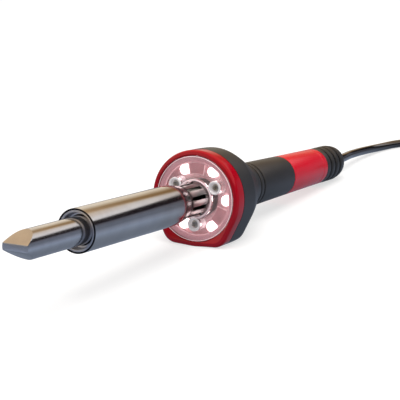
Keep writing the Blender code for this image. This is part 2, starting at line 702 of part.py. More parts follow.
def make_wiring():
    """Heater leads, light leads, crimps, the cord's cores and the jacket's end in its clamp."""
    finishes = (wire_brown, wire_blue)
    for index, side in enumerate((-WIRE_SIDE, WIRE_SIDE)):
        number = index + 1
        rod(f"heater_lead_{number}", (REAR_TUBE_START - 0.002, side, WIRE_HEIGHT),
            (0.1117, side, WIRE_HEIGHT), WIRE_RADIUS, sleeving, iron, sides=12)
        rod(f"crimp_{number}", (0.1120, side, WIRE_HEIGHT), (0.1200, side, WIRE_HEIGHT), 0.0014,
            nickel, iron)
        route = [
            (0.1203, side, WIRE_HEIGHT),
            (0.145, side, WIRE_HEIGHT),
            (0.160, side, WIRE_HEIGHT),
            (0.168, side * 0.75, 0.0022),
            (0.1747, side * 0.5, 0.0),
        ]
        wire(f"cord_core_{number}", route, WIRE_RADIUS, finishes[index], iron, step=0.006)
        half = math.copysign(1.0, side)
        route = [
            (0.0883, -0.0084, half * 0.0010),
            (0.0950, -0.0084, half * 0.0010),
            (0.1010, -0.0072, half * 0.0010),
            (0.1090, -0.0042 + half * 0.0006, -0.0006 + half * 0.0008),
            (0.1170, -0.0018 + half * 0.0011, -0.0018 + half * 0.0004),
            (0.1257, half * 0.0013, -0.0021),
        ]
        wire(f"light_lead_{number}", route, 0.0006, finishes[index], iron, step=0.006)
    rod("cord_end", (0.1750, 0.0, 0.0), (0.2157, 0.0, 0.0), CORD_RADIUS, cord_black, iron, sides=12)
    clamp_low, clamp_high = 0.1765, 0.1825
    groove = [((clamp_low - 0.002, 0.0, 0.0), (clamp_high + 0.002, 0.0, 0.0))]
    wide, high, split = 0.0046, 0.0034, 0.00015
    lower = box("clamp_lower", (clamp_low, -wide, -high), (clamp_high, wide, -split), black_plastic, iron)
    upper = box("clamp_upper", (clamp_low, -wide, split), (clamp_high, wide, high), black_plastic, iron)
    combine(lower, rods_cutter("lower_groove_cutter", groove, CORD_RADIUS + GAP, iron), "DIFFERENCE")
    combine(upper, rods_cutter("upper_groove_cutter", groove, CORD_RADIUS + GAP, iron), "DIFFERENCE")
    middle = 0.5 * (clamp_low + clamp_high)
    shafts = []
    heads = []
    for side in (-0.0033, 0.0033):
        shafts.append(((middle, side, -0.0028), (middle, side, 0.0045)))
        heads.append(((middle, side, 0.0025), (middle, side, 0.0045)))
    combine(lower, rods_cutter("lower_screw_cutter", shafts, 0.0008, iron), "DIFFERENCE")
    combine(upper, rods_cutter("upper_screw_cutter", shafts, 0.0008, iron), "DIFFERENCE")
    combine(upper, rods_cutter("upper_head_cutter", heads, 0.0012, iron), "DIFFERENCE")
    profile = [(0.0034, 0.0007), (0.0034, 0.0009), (0.0028, 0.0009), (0.0028, 0.0005), (-0.0024, 0.0005)]
    for index, side in enumerate((-0.0033, 0.0033)):
        bm = bmesh.new()
        rings = []
        for up, radius in profile:
            ring = []
            for k in range(16):
                angle = 2.0 * math.pi * k / 16
                ring.append(bm.verts.new((radius * math.cos(angle), radius * math.sin(angle), up)))
            rings.append(ring)
        add_rings(bm, rings, closed=False)
        bm.faces.new(rings[0])
        bm.faces.new(rings[-1])
        made = add_object(f"clamp_screw_{index + 1}", bm, nickel, iron)
        made.location = (middle, side, 0.0)


def make_cord():
    """The cord's free run, its coil and tie, and the short tail to the plug."""
    wire("cord_run", CORD_ROUTE, CORD_RADIUS, cord_black, None, resolution=2, step=0.009)
    wire("cord_tail", TAIL_ROUTE, CORD_RADIUS, cord_black, None, resolution=2, step=0.009)
    ease = 0.0015
    low, high = COIL_MEAN - COIL_HALF_WIDTH, COIL_MEAN + COIL_HALF_WIDTH
    section = [(low, ease), (low + ease, 0.0), (high - ease, 0.0), (high, ease)]
    section += [(high, COIL_HEIGHT - ease), (high - ease, COIL_HEIGHT)]
    section += [(low + ease, COIL_HEIGHT), (low, COIL_HEIGHT - ease)]
    bm = bmesh.new()
    rings = []
    sides = 36
    for radius, up in section:
        ring = []
        for k in range(sides):
            angle = 2.0 * math.pi * k / sides
            ring.append(bm.verts.new((radius * math.cos(angle), radius * math.sin(angle), up)))
        rings.append(ring)
    add_rings(bm, rings, closed=True)
    coil = add_object("cord_coil", bm, cord_black, None)
    coil.location = (*COIL_MIDDLE, 0.0)
    half, thick = 0.005, 0.0008
    inside = COIL_HALF_WIDTH + GAP
    bow = 0.0010
    middle = (COIL_MIDDLE[0], COIL_MIDDLE[1] - COIL_MEAN)
    top = COIL_HEIGHT + GAP
    tie = box("coil_tie", (middle[0] - half, middle[1] - inside - thick, 0.0),
              (middle[0] + half, middle[1] + inside + bow + thick, top + thick), strap_black, None)
    hollow = box("tie_hollow_cutter", (middle[0] - half - 0.002, middle[1] - inside, thick),
                 (middle[0] + half + 0.002, middle[1] + inside + bow, top), cutter_finish, None)
    combine(tie, hollow, "DIFFERENCE")
    notch = box("coil_notch_cutter", (middle[0] - half - GAP, middle[1] - 0.012, -0.001),
                (middle[0] + half + GAP, middle[1] + 0.012, thick + GAP), cutter_finish, None)
    combine(coil, notch, "DIFFERENCE")


def make_plug():
    """A flat moulded two-blade plug with a tapered strain relief, lying on the surface."""
    back_x, middle_y = PLUG_REAR
    middle_z = 0.5 * PLUG_HEIGHT
    sections = [
        (0.0000, 0.0030, 0.0030),
        (0.0180, 0.0040, 0.0040),
        (0.0195, 0.0072, 0.0052),
        (0.0250, 0.0098, middle_z),
        (0.0440, 0.0110, middle_z),
        (0.0465, 0.0110, middle_z),
        (0.0475, 0.0104, middle_z - 0.0006),
    ]
    bm = bmesh.new()
    rings = []
    count = 32
    for along, half_wide, half_high in sections:
        ring = []
        corner = half_high
        for k in range(count):
            angle = 2.0 * math.pi * (k + 0.5) / count
            side, up = math.cos(angle), math.sin(angle)
            across = math.copysign(half_wide - corner, side) + corner * side
            ring.append(bm.verts.new((back_x - along, middle_y + across, middle_z + corner * up)))
        rings.append(ring)
    add_rings(bm, rings, closed=False)
    bm.faces.new(rings[0])
    bm.faces.new(rings[-1])
    add_object("plug_body", bm, black_rubber, None)
    face = back_x - sections[-1][0] - GAP
    for index, side in enumerate((-BLADE_SPREAD, BLADE_SPREAD)):
        low = (face - BLADE_LENGTH, middle_y + side - BLADE_HALF_THICK, middle_z - BLADE_HALF_WIDE)
        high = (face, middle_y + side + BLADE_HALF_THICK, middle_z + BLADE_HALF_WIDE)
        box(f"plug_blade_{index + 1}", low, high, nickel, None, bevel=0.0003)


make_tip()
make_tip_screw()
make_barrel()
make_heater()
make_rear_tube()
make_flange()
make_lens()
make_lights()
make_bezel()
make_housing()
make_handle()
make_driver()
make_wiring()
make_cord()
make_plug()
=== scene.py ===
import math
from math import cos, pi, radians, sin

import bmesh
import bpy
from mathutils import Matrix, Vector


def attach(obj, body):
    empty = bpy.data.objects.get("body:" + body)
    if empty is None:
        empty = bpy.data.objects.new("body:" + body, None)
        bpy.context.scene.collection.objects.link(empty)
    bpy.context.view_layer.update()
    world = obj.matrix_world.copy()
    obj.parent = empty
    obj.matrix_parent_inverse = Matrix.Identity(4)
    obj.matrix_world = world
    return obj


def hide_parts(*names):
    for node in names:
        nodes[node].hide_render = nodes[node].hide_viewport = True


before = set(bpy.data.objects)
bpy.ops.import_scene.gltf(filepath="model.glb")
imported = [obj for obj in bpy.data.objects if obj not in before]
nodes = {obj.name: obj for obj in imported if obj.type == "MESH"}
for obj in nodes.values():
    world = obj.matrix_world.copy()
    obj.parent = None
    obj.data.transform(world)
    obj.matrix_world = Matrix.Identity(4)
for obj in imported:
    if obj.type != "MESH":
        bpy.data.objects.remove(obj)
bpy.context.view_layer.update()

# the iron's own axis: stations run from the barrel's front rim, minus towards the tip, plus towards the cord
ironFrame = {
    "flatDepth": 0.0184,
    "flatFront": 0.0835,
    "bootFootAt": 0.2070,
    "bootFootRadius": 0.0080,
    "middle": 0.09124,
}
tilt = math.atan2(
    ironFrame["flatDepth"] - ironFrame["bootFootRadius"],
    ironFrame["bootFootAt"] - ironFrame["flatFront"],
)
axisHeight = ironFrame["flatFront"] * sin(tilt) + ironFrame["flatDepth"] * cos(tilt)
ironAxis = Matrix.Translation((-ironFrame["middle"] * cos(tilt), 0.0, axisHeight))
ironAxis = ironAxis @ Matrix.Rotation(tilt, 4, "Y")


cameraSetup = {
    "place": (-0.45004, -0.24795, 0.14049),
    "right": (0.48288, -0.87545, -0.02055),
    "up": (0.21605, 0.09636, 0.97162),
    "forward": (0.84862, 0.47361, -0.23567),
    "lens": 121.5,
    "sensor": 36.0,
}


def newObject(name, data):
    made = bpy.data.objects.new(name, data)
    bpy.context.scene.collection.objects.link(made)
    return made


def newMesh(name, bm):
    mesh = bpy.data.meshes.new(name)
    bm.to_mesh(mesh)
    bm.free()
    return mesh


def makeCamera():
    data = bpy.data.cameras.new("camera")
    data.lens = cameraSetup["lens"]
    data.sensor_width = cameraSetup["sensor"]
    data.clip_start = 0.01
    data.clip_end = 50.0
    camera = newObject("camera", data)
    turn = Matrix((cameraSetup["right"], cameraSetup["up"], -Vector(cameraSetup["forward"]))).transposed()
    camera.matrix_world = Matrix.Translation(cameraSetup["place"]) @ turn.to_4x4()
    bpy.context.scene.camera = camera


studio = {
    "floorColour": (0.42, 0.42, 0.42, 1.0),
    "floorGlow": 0.62,
    "floorReach": 9.0,
    "ambient": 1.0,
    "keySize": 0.9,
    "keyPlace": (-0.35, -0.25, 1.1),
    "keyPower": 9.0,
    "keyColour": (1.0, 0.98, 0.96),
}

# what the polished metal sees: slate below, a dark line at the horizon, pale on one side and tan on the other
skyBelow = [
    (0.00, (0.10, 0.12, 0.15)),
    (0.22, (0.19, 0.22, 0.28)),
    (0.33, (0.27, 0.32, 0.42)),
    (0.40, (0.24, 0.27, 0.35)),
    (0.46, (0.16, 0.18, 0.23)),
    (0.52, (0.12, 0.13, 0.16)),
]
skyAbove = [
    (0.30, (0.86, 0.82, 0.81)),
    (0.47, (0.72, 0.66, 0.63)),
    (0.495, (0.56, 0.45, 0.33)),
    (0.53, (0.30, 0.18, 0.08)),
    (0.59, (0.27, 0.155, 0.065)),
    (0.64, (0.50, 0.37, 0.23)),
    (0.72, (0.84, 0.72, 0.57)),
    (1.00, (0.86, 0.78, 0.66)),
]
nearBand = [(0.505, (0.15, 0.17, 0.22)), (0.584, (0.12, 0.12, 0.145)), (0.602, (0.008, 0.004, 0.006))]
nearBandShare = [(0.490, 0.0), (0.505, 1.0), (0.687, 1.0), (0.700, 0.0)]
highTan = (0.65, 0.46, 0.285)
# what everything else is lit by
softSky = [(0.0, (0.42, 0.44, 0.50)), (0.5, (0.62, 0.62, 0.66)), (1.0, (1.15, 1.12, 1.08))]
frontShade = [(0.10, 0.50), (0.50, 1.0)]


def link(tree, source, target):
    tree.links.new(source, target)


def addRamp(tree, source, stops):
    node = tree.nodes.new("ShaderNodeValToRGB")
    ramp = node.color_ramp
    while len(ramp.elements) < len(stops):
        ramp.elements.new(0.5)
    for element, (place, colour) in zip(ramp.elements, stops):
        element.position = place
        element.color = (*colour, 1.0) if isinstance(colour, tuple) else (colour, colour, colour, 1.0)
    link(tree, source, node.inputs["Fac"])
    return node.outputs["Color"]


def addMath(tree, operation, *values):
    node = tree.nodes.new("ShaderNodeMath")
    node.operation = operation
    for socket, value in zip(node.inputs, values):
        if isinstance(value, (int, float)):
            socket.default_value = value
        else:
            link(tree, value, socket)
    return node.outputs[0]


def addRange(tree, value, start, end, low=0.0, high=1.0, how="LINEAR"):
    node = tree.nodes.new("ShaderNodeMapRange")
    node.interpolation_type = how
    for name, number in (("From Min", start), ("From Max", end), ("To Min", low), ("To Max", high)):
        node.inputs[name].default_value = number
    link(tree, value, node.inputs["Value"])
    return node.outputs[0]


def addMix(tree, fac, first, second, how="MIX"):
    node = tree.nodes.new("ShaderNodeMix")
    node.data_type = "RGBA"
    node.blend_type = how
    for name, value in (("Factor", fac), ("A", first), ("B", second)):
        socket = [s for s in node.inputs if s.name == name and s.enabled][0]
        if isinstance(value, (int, float)):
            socket.default_value = value
        elif isinstance(value, (tuple, list)):
            socket.default_value = (*value[:3], 1.0)
        else:
            link(tree, value, socket)
    return [s for s in node.outputs if s.enabled][0]


def makeWorld():
    world = bpy.data.worlds.new("studio")
    bpy.context.scene.world = world
    world.use_nodes = True
    tree = world.node_tree
    tree.nodes.clear()
    where = tree.nodes.new("ShaderNodeTexCoord")
    parts = tree.nodes.new("ShaderNodeSeparateXYZ")
    link(tree, where.outputs["Generated"], parts.inputs[0])
    along, across, height = [addMath(tree, "MULTIPLY_ADD", parts.outputs[axis], 0.5, 0.5) for axis in "XYZ"]
    below = addRamp(tree, height, skyBelow)
    above = addRamp(tree, across, skyAbove)
    rise = addRamp(tree, height, [(0.505, 0.0), (0.535, 1.0)])
    band = addRamp(tree, height, nearBandShare)
    nearSide = addRamp(tree, across, [(0.50, 1.0), (0.62, 0.0)])
    dark = addMath(tree, "MULTIPLY", band, nearSide)
    seen = addMix(tree, rise, below, above)
    seen = addMix(tree, addRamp(tree, height, [(0.74, 0.0), (0.83, 1.0)]), seen, highTan)
    seen = addMix(tree, dark, seen, addRamp(tree, height, nearBand))
    soft = addRamp(tree, height, softSky)
    soft = addMix(tree, 1.0, soft, addRamp(tree, along, frontShade), "MULTIPLY")
    ray = tree.nodes.new("ShaderNodeLightPath")
    colour = addMix(tree, ray.outputs["Is Glossy Ray"], soft, seen)
    back = tree.nodes.new("ShaderNodeBackground")
    back.inputs["Strength"].default_value = studio["ambient"]
    link(tree, colour, back.inputs["Color"])
    out = tree.nodes.new("ShaderNodeOutputWorld")
    link(tree, back.outputs[0], out.inputs["Surface"])


def makeFloor():
    reach = studio["floorReach"]
    mesh = bpy.data.meshes.new("floor")
    corners = [(x * reach, y * reach, 0.0) for x, y in ((-1, -1), (1, -1), (1, 1), (-1, 1))]
    mesh.from_pydata(corners, [], [(0, 1, 2, 3)])
    floor = newObject("floor", mesh)
    material = bpy.data.materials.new("paleFloor")
    material.use_nodes = True
    shader = material.node_tree.nodes["Principled BSDF"]
    shader.inputs["Base Color"].default_value = studio["floorColour"]
    shader.inputs["Roughness"].default_value = 0.9
    shader.inputs["Specular IOR Level"].default_value = 0.1
    shader.inputs["Emission Color"].default_value = (1.0, 1.0, 1.0, 1.0)
    shader.inputs["Emission Strength"].default_value = studio["floorGlow"]  # keeps the shadows faint
    mesh.materials.append(material)
    floor.visible_glossy = False
    floor.visible_diffuse = False


def makeKeyLamp():
    data = bpy.data.lights.new("keyLamp", "AREA")
    data.shape = "DISK"
    data.size = studio["keySize"]
    data.energy = studio["keyPower"]
    data.color = studio["keyColour"]
    lamp = newObject("keyLamp", data)
    lamp.location = studio["keyPlace"]
    lamp.rotation_euler = (-Vector(studio["keyPlace"])).to_track_quat("-Z", "Y").to_euler()
    lamp.visible_glossy = False


bpy.context.scene.view_settings.view_transform = "Standard"
makeCamera()
makeWorld()
makeFloor()
makeKeyLamp()
print("camera, floor and light are set")


def easedOutline(rows, steps):
    # rows are (station, radius, ease); each corner is rounded by its ease, in metres
    rounded = []
    count = len(rows)
    for k, row in enumerate(rows):
        here = Vector(row[:2])
        ease = row[2] if len(row) > 2 else 0.0
        before = Vector(rows[k - 1][:2]) - here
        after = Vector(rows[(k + 1) % count][:2]) - here
        ease = min(ease, 0.45 * before.length, 0.45 * after.length)
        if ease < 1e-6:
            rounded.append((here.x, here.y))
            continue
        start = here + before.normalized() * ease
        end = here + after.normalized() * ease
        for i in range(steps + 1):
            t = i / steps
            place = start * (1 - t) ** 2 + here * (2 * t * (1 - t)) + end * t ** 2
            rounded.append((place.x, place.y))
    return rounded


def skinMesh(rings, closed=False):
    # faces from ring to ring; a run that does not close on itself gets a cap at each end
    bm = bmesh.new()
    rings = [[bm.verts.new(place) for place in ring] for ring in rings]
    pairs = list(zip(rings, rings[1:]))
    if closed:
        pairs.append((rings[-1], rings[0]))
    else:
        bm.faces.new(rings[0])
        bm.faces.new(rings[-1])
    for ring, after in pairs:
        count = max(len(ring), len(after))
        if count == 1:
            continue
        for i in range(count):
            j = (i + 1) % count
            corners = [ring[i % len(ring)], ring[j % len(ring)], after[j % len(after)], after[i % len(after)]]
            bm.faces.new(list(dict.fromkeys(corners)))
    return bm


def movedMesh(bm, place):
    bmesh.ops.translate(bm, verts=bm.verts, vec=place)
    return bm


def joinMeshes(meshes):
    whole = bmesh.new()
    for bm in meshes:
        mesh = newMesh("part", bm)
        whole.from_mesh(mesh)
        bpy.data.meshes.remove(mesh)
    return whole


def addPiece(name, bm, finish, node, body="iron", onAxis=True, sharp=32.0):
    # a piece that stands for a node of the frame, drawn along the iron's axis unless onAxis is off
    bmesh.ops.recalc_face_normals(bm, faces=bm.faces)
    mesh = newMesh(name, bm)
    mesh.materials.append(finishes[finish])
    mesh.shade_smooth()
    mesh.set_sharp_from_angle(angle=radians(sharp))
    piece = newObject(name, mesh)
    if onAxis:
        piece.matrix_world = ironAxis
    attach(piece, body)
    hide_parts(node)
    return piece


def turnAngles(count, shift=0.5):
    return [2.0 * pi * (i + shift) / count for i in range(count)]


def turnedMesh(rows, sides, steps=3):
    rings = []
    for station, radius in easedOutline(rows, steps):
        angles = turnAngles(sides) if radius > 0.0 else [0.0]
        rings.append([(station, radius * cos(a), radius * sin(a)) for a in angles])
    return skinMesh(rings, closed=True)


def settleModifiers(piece):
    bpy.context.view_layer.update()
    graph = bpy.context.evaluated_depsgraph_get()
    old = piece.data
    made = bpy.data.meshes.new_from_object(piece.evaluated_get(graph))
    piece.modifiers.clear()
    piece.data = made
    bpy.data.meshes.remove(old)


def applyCuts(piece, cutters):
    # cuts each closed mesh away in turn, then drops it
    for bm in cutters:
        bmesh.ops.recalc_face_normals(bm, faces=bm.faces)
        cutter = newObject("cutter", newMesh("cutter", bm))
        cutter.matrix_world = piece.matrix_world
        modifier = piece.modifiers.new("cut", "BOOLEAN")
        modifier.operation = "DIFFERENCE"
        modifier.solver = "EXACT"
        modifier.object = cutter
        settleModifiers(piece)
        bpy.data.objects.remove(cutter, do_unlink=True)


def softenEdges(piece, width, segments, angle, smoothAngle=32.0):
    modifier = piece.modifiers.new("edges", "BEVEL")
    modifier.width = width
    modifier.segments = segments
    modifier.limit_method = "ANGLE"
    modifier.angle_limit = radians(angle)
    settleModifiers(piece)
    piece.data.shade_smooth()
    piece.data.set_sharp_from_angle(angle=radians(smoothAngle))


def rodMesh(start, end, radius, sides=32):
    start, end = Vector(start), Vector(end)
    turn = (end - start).to_track_quat("Z", "Y")
    circle = [turn @ Vector((radius * cos(a), radius * sin(a), 0.0)) for a in turnAngles(sides, 0.0)]
    return skinMesh([[place + spoke for spoke in circle] for place in (start, end)])


def polar(station, radius, degrees):
    angle = radians(degrees)
    return Vector((station, radius * cos(angle), radius * sin(angle)))


def makeFinish(name, look):
    material = bpy.data.materials.new(name)
    material.use_nodes = True
    tree = material.node_tree
    shader = tree.nodes["Principled BSDF"]
    place = tree.nodes.new("ShaderNodeTexCoord").outputs["Object"]

    def noise(scale, detail=3.0):
        node = tree.nodes.new("ShaderNodeTexNoise")
        node.inputs["Scale"].default_value = scale
        node.inputs["Detail"].default_value = detail
        link(tree, place, node.inputs["Vector"])
        return node.outputs["Fac"]

    patches = noise(look.get("patchScale", 300.0))
    spread = addRamp(tree, patches, [(0.35, 0.0), (0.68, 1.0)])
    colour = addMix(tree, spread, look["colour"], look["second"])
    grain = noise(look.get("grainScale", 2500.0), 4.0)
    mixed = addMath(tree, "MULTIPLY_ADD", patches, 0.5, addMath(tree, "MULTIPLY", grain, 0.5))
    link(tree, addRange(tree, mixed, 0.3, 0.7, *look["roughness"]), shader.inputs["Roughness"])
    height = grain
    if look.get("lineScale"):  # turning or drawing marks across the iron's axis
        lines = tree.nodes.new("ShaderNodeTexWave")
        lines.bands_direction = look.get("lineAlong", "X")
        lines.inputs["Scale"].default_value = look["lineScale"]
        lines.inputs["Distortion"].default_value = look["lineWander"]
        lines.inputs["Detail"].default_value = 3.0
        link(tree, place, lines.inputs["Vector"])
        height = addMix(tree, look.get("lineShare", 0.5), height, lines.outputs["Fac"])
    if look.get("heatTintAndShade"):
        parts = tree.nodes.new("ShaderNodeSeparateXYZ")
        link(tree, place, parts.inputs[0])
    for start, end, tint, strength in look.get("heatTintAndShade", ()):  # straw and brown tint where the metal runs hot; the near-black bands are painted shade that dulls their reflections
        reach = addRange(tree, parts.outputs["X"], start, end, how="SMOOTHSTEP")
        tinted = addMath(tree, "MULTIPLY", reach, strength)
        cloud = addRamp(tree, noise(90.0), [(0.25, 0.55), (0.75, 1.0)])
        colour = addMix(tree, addMath(tree, "MULTIPLY", tinted, cloud), colour, tint)
    if look.get("rimEnd"):  # a thin band at the front rim is coloured near-black
        burnt = addRange(tree, parts.outputs["X"], look["rimEnd"] + 0.00008, look["rimEnd"])
        colour = addMix(tree, burnt, colour, (0.02, 0.02, 0.025))
    if look.get("specks"):
        specks = addRamp(tree, noise(look["speckScale"], 2.0), [(0.66, 0.0), (0.72, 1.0)])
        colour = addMix(tree, addMath(tree, "MULTIPLY", specks, look["speckShare"]), colour, look["specks"])
    link(tree, colour, shader.inputs["Base Color"])
    bump = tree.nodes.new("ShaderNodeBump")
    bump.inputs["Strength"].default_value = look.get("bump", 0.1)
    bump.inputs["Distance"].default_value = look.get("bumpDepth", 0.0001)
    link(tree, height, bump.inputs["Height"])
    link(tree, bump.outputs[0], shader.inputs["Normal"])
    for socket, option, usual in (
        ("Metallic", "metal", 0.0), ("IOR", "ior", 1.5), ("Specular IOR Level", "gloss", 0.5),
        ("Coat Weight", "coat", 0.0), ("Coat Roughness", "coatRoughness", 0.1),
        ("Transmission Weight", "clear", 0.0),
    ):
        shader.inputs[socket].default_value = look.get(option, usual)
    # emission: on the lit domes it stands for the lamps; on the lens pieces it is painted glow
    if look.get("glow"):
        shader.inputs["Emission Color"].default_value = (*look["glow"], 1.0)
        shader.inputs["Emission Strength"].default_value = look["glowStrength"]
    return material


looks = {
    "platedTip": {"colour": (0.79, 0.79, 0.8), "second": (0.73, 0.73, 0.75), "metal": 1.0,
        "roughness": (0.12, 0.2), "patchScale": 220.0, "grainScale": 2600.0, "bump": 0.06,
        "bumpDepth": 0.00003, "lineScale": 900.0, "lineWander": 2.0, "lineShare": 0.6},
    "polishedBarrel": {"colour": (0.76, 0.755, 0.75), "second": (0.7, 0.7, 0.71), "metal": 1.0,
        "roughness": (0.1, 0.17), "patchScale": 140.0, "grainScale": 2200.0, "bump": 0.04,
        "bumpDepth": 0.00003, "lineScale": 700.0, "lineWander": 1.5, "lineShare": 0.6,
        # the near-black band over the barrel's rear cone is painted shade
        "heatTintAndShade": [(0.03, 0.062, (0.52, 0.42, 0.33), 0.5), (0.0604, 0.0618, (0.075, 0.072, 0.074), 1.9)],
        "rimEnd": 0.00016},
    "rearTubeSteel": {"colour": (0.4, 0.41, 0.41), "second": (0.31, 0.32, 0.32), "metal": 1.0,
        "roughness": (0.26, 0.38), "patchScale": 160.0, "grainScale": 2000.0, "bump": 0.06,
        "bumpDepth": 0.00004,
        # the near-black band over the tube's front is painted shade
        "heatTintAndShade": [(0.082, 0.068, (0.3, 0.27, 0.24), 0.6), (0.0705, 0.068, (0.08, 0.075, 0.075), 1.9)]},
    "turnedCollar": {"colour": (0.74, 0.76, 0.82), "second": (0.64, 0.66, 0.72), "metal": 1.0,
        "roughness": (0.34, 0.46), "patchScale": 260.0, "grainScale": 2600.0, "bump": 0.15,
        "bumpDepth": 0.00004},
    "blackenedScrew": {"colour": (0.18, 0.18, 0.19), "second": (0.28, 0.27, 0.26), "metal": 1.0,
        "roughness": (0.35, 0.5), "patchScale": 500.0, "grainScale": 4000.0, "bump": 0.2,
        "bumpDepth": 0.00004},
    "nickelScrew": {"colour": (0.58, 0.56, 0.53), "second": (0.48, 0.46, 0.44), "metal": 1.0,
        "roughness": (0.24, 0.36), "patchScale": 500.0, "grainScale": 4000.0, "bumpDepth": 0.00003},
    "clearLens": {"colour": (0.86, 0.72, 0.74), "second": (0.83, 0.69, 0.71), "clear": 0.88, "ior": 1.45,
        "roughness": (0.02, 0.05), "patchScale": 180.0, "grainScale": 1500.0, "bump": 0.02,
        "bumpDepth": 0.00002},
    # the lens pads, outer ring and edges carry painted glow
    "lensPadsPaintedGlow": {"colour": (0.86, 0.46, 0.49), "second": (0.8, 0.4, 0.43), "ior": 1.45,
        "roughness": (0.25, 0.35), "patchScale": 320.0, "grainScale": 1500.0, "bumpDepth": 0.00004,
        "glow": (1.0, 0.58, 0.66), "glowStrength": 0.14},
    "lensRingPaintedGlow": {"colour": (0.78, 0.53, 0.56), "second": (0.73, 0.48, 0.51), "roughness": (0.25, 0.35),
        "patchScale": 260.0, "grainScale": 1500.0, "bump": 0.05, "bumpDepth": 0.00003,
        "glow": (1.0, 0.55, 0.64), "glowStrength": 0.26},
    "edgesPaintedGlow": {"colour": (0.92, 0.72, 0.74), "second": (0.86, 0.62, 0.65), "roughness": (0.15, 0.25),
        "patchScale": 260.0, "grainScale": 1500.0, "bump": 0.05, "glow": (1.0, 0.84, 0.87),
        "glowStrength": 0.24},
    # the screw bosses carry painted glow
    "screwBossesPaintedGlow": {"colour": (0.8, 0.78, 0.79), "second": (0.62, 0.59, 0.61), "clear": 0.2, "ior": 1.45,
        "roughness": (0.1, 0.22), "patchScale": 420.0, "grainScale": 1500.0, "bump": 0.12,
        "bumpDepth": 0.00005, "glow": (1.0, 0.96, 0.97), "glowStrength": 0.16},
    "litDome": {"colour": (0.95, 0.95, 0.92), "second": (0.9, 0.9, 0.88), "roughness": (0.25, 0.4),
        "patchScale": 400.0, "grainScale": 3000.0, "bump": 0.05, "glow": (1.0, 1.0, 0.98),
        "glowStrength": 4.0},
    "whiteBoard": {"colour": (0.66, 0.48, 0.5), "second": (0.58, 0.4, 0.42), "roughness": (0.4, 0.55),
        "specks": (0.75, 0.7, 0.55), "speckScale": 700.0, "speckShare": 0.5},
    "bezelRed": {"colour": (0.42, 0.0002, 0.01), "second": (0.38, 0.0002, 0.009), "roughness": (0.14, 0.19),
        "patchScale": 90.0, "grainScale": 1800.0, "bump": 0.04, "bumpDepth": 0.00004, "gloss": 0.4},
    "housingBlack": {"colour": (0.02, 0.021, 0.023), "second": (0.026, 0.027, 0.03),
        "roughness": (0.36, 0.46), "patchScale": 80.0, "grainScale": 2600.0, "bump": 0.25,
        "bumpDepth": 0.00004, "gloss": 0.95},
    "gripRubber": {"colour": (0.018, 0.018, 0.019), "second": (0.027, 0.026, 0.027),
        "roughness": (0.38, 0.48), "patchScale": 70.0, "grainScale": 3200.0, "bump": 0.22,
        "bumpDepth": 0.00004, "gloss": 1.0},
    "redSleeve": {"colour": (0.72, 0.003, 0.022), "second": (0.67, 0.003, 0.02), "roughness": (0.22, 0.28),
        "patchScale": 70.0, "grainScale": 3200.0, "bump": 0.22, "bumpDepth": 0.00004, "gloss": 0.95},
    "cordJacket": {"colour": (0.006, 0.006, 0.007), "second": (0.01, 0.009, 0.01),
        "roughness": (0.09, 0.14), "patchScale": 120.0, "grainScale": 2400.0, "bump": 0.05,
        "bumpDepth": 0.00003, "gloss": 1.0, "coat": 1.0, "coatRoughness": 0.07},
    # near-black matte: painted shade in the boot's grooves, and the handle core's own black
    "blackCoreAndGrooveShade": {"colour": (0.0016, 0.0016, 0.0018), "second": (0.0025, 0.0025, 0.0027),
        "roughness": (0.8, 0.9), "patchScale": 200.0, "grainScale": 2600.0, "gloss": 0.08},
    "plugRubber": {"colour": (0.018, 0.018, 0.019), "second": (0.026, 0.025, 0.026),
        "roughness": (0.42, 0.55), "patchScale": 90.0, "grainScale": 2600.0, "bump": 0.3,
        "bumpDepth": 0.00005},
    "wovenStrap": {"colour": (0.03, 0.03, 0.032), "second": (0.05, 0.05, 0.052), "roughness": (0.8, 0.95),
        "grainScale": 5000.0, "bump": 0.8, "bumpDepth": 0.0002, "lineScale": 1400.0, "lineAlong": "Y",
        "lineWander": 0.5, "lineShare": 0.6, "gloss": 0.3},
    "pinNickel": {"colour": (0.72, 0.7, 0.66), "second": (0.62, 0.6, 0.57), "metal": 1.0,
        "roughness": (0.2, 0.32), "grainScale": 3000.0, "bump": 0.08, "bumpDepth": 0.00003},
    "heaterCeramic": {"colour": (0.8, 0.78, 0.72), "second": (0.7, 0.66, 0.58), "roughness": (0.6, 0.8),
        "patchScale": 250.0, "grainScale": 1800.0, "bump": 0.3},
    "resistanceWire": {"colour": (0.3, 0.27, 0.24), "second": (0.2, 0.15, 0.12), "metal": 1.0,
        "roughness": (0.4, 0.6), "patchScale": 400.0, "grainScale": 3000.0, "bump": 0.3},
    "micaSheet": {"colour": (0.58, 0.5, 0.36), "second": (0.7, 0.62, 0.48), "roughness": (0.25, 0.45),
        "grainScale": 1500.0, "bump": 0.2, "specks": (0.85, 0.8, 0.68), "speckScale": 900.0,
        "speckShare": 0.5},
    "mouldedCase": {"colour": (0.34, 0.27, 0.08), "second": (0.28, 0.22, 0.07), "roughness": (0.35, 0.5),
        "bump": 0.15},
    "driverBoardGreen": {"colour": (0.015, 0.11, 0.045), "second": (0.02, 0.15, 0.06),
        "roughness": (0.35, 0.5), "patchScale": 500.0, "specks": (0.45, 0.4, 0.22), "speckScale": 900.0,
        "speckShare": 0.6},
    "glassSleeving": {"colour": (0.74, 0.72, 0.65), "second": (0.62, 0.6, 0.54), "roughness": (0.75, 0.9),
        "patchScale": 500.0, "grainScale": 4000.0, "bump": 0.7, "lineScale": 1800.0, "lineWander": 0.4},
    "wireBrown": {"colour": (0.17, 0.06, 0.02), "second": (0.21, 0.08, 0.03), "roughness": (0.35, 0.5)},
    "wireBlue": {"colour": (0.02, 0.09, 0.38), "second": (0.03, 0.12, 0.45), "roughness": (0.35, 0.5)},
}
finishes = {name: makeFinish(name, look) for name, look in looks.items()}
print("finishes are mixed:", len(finishes))


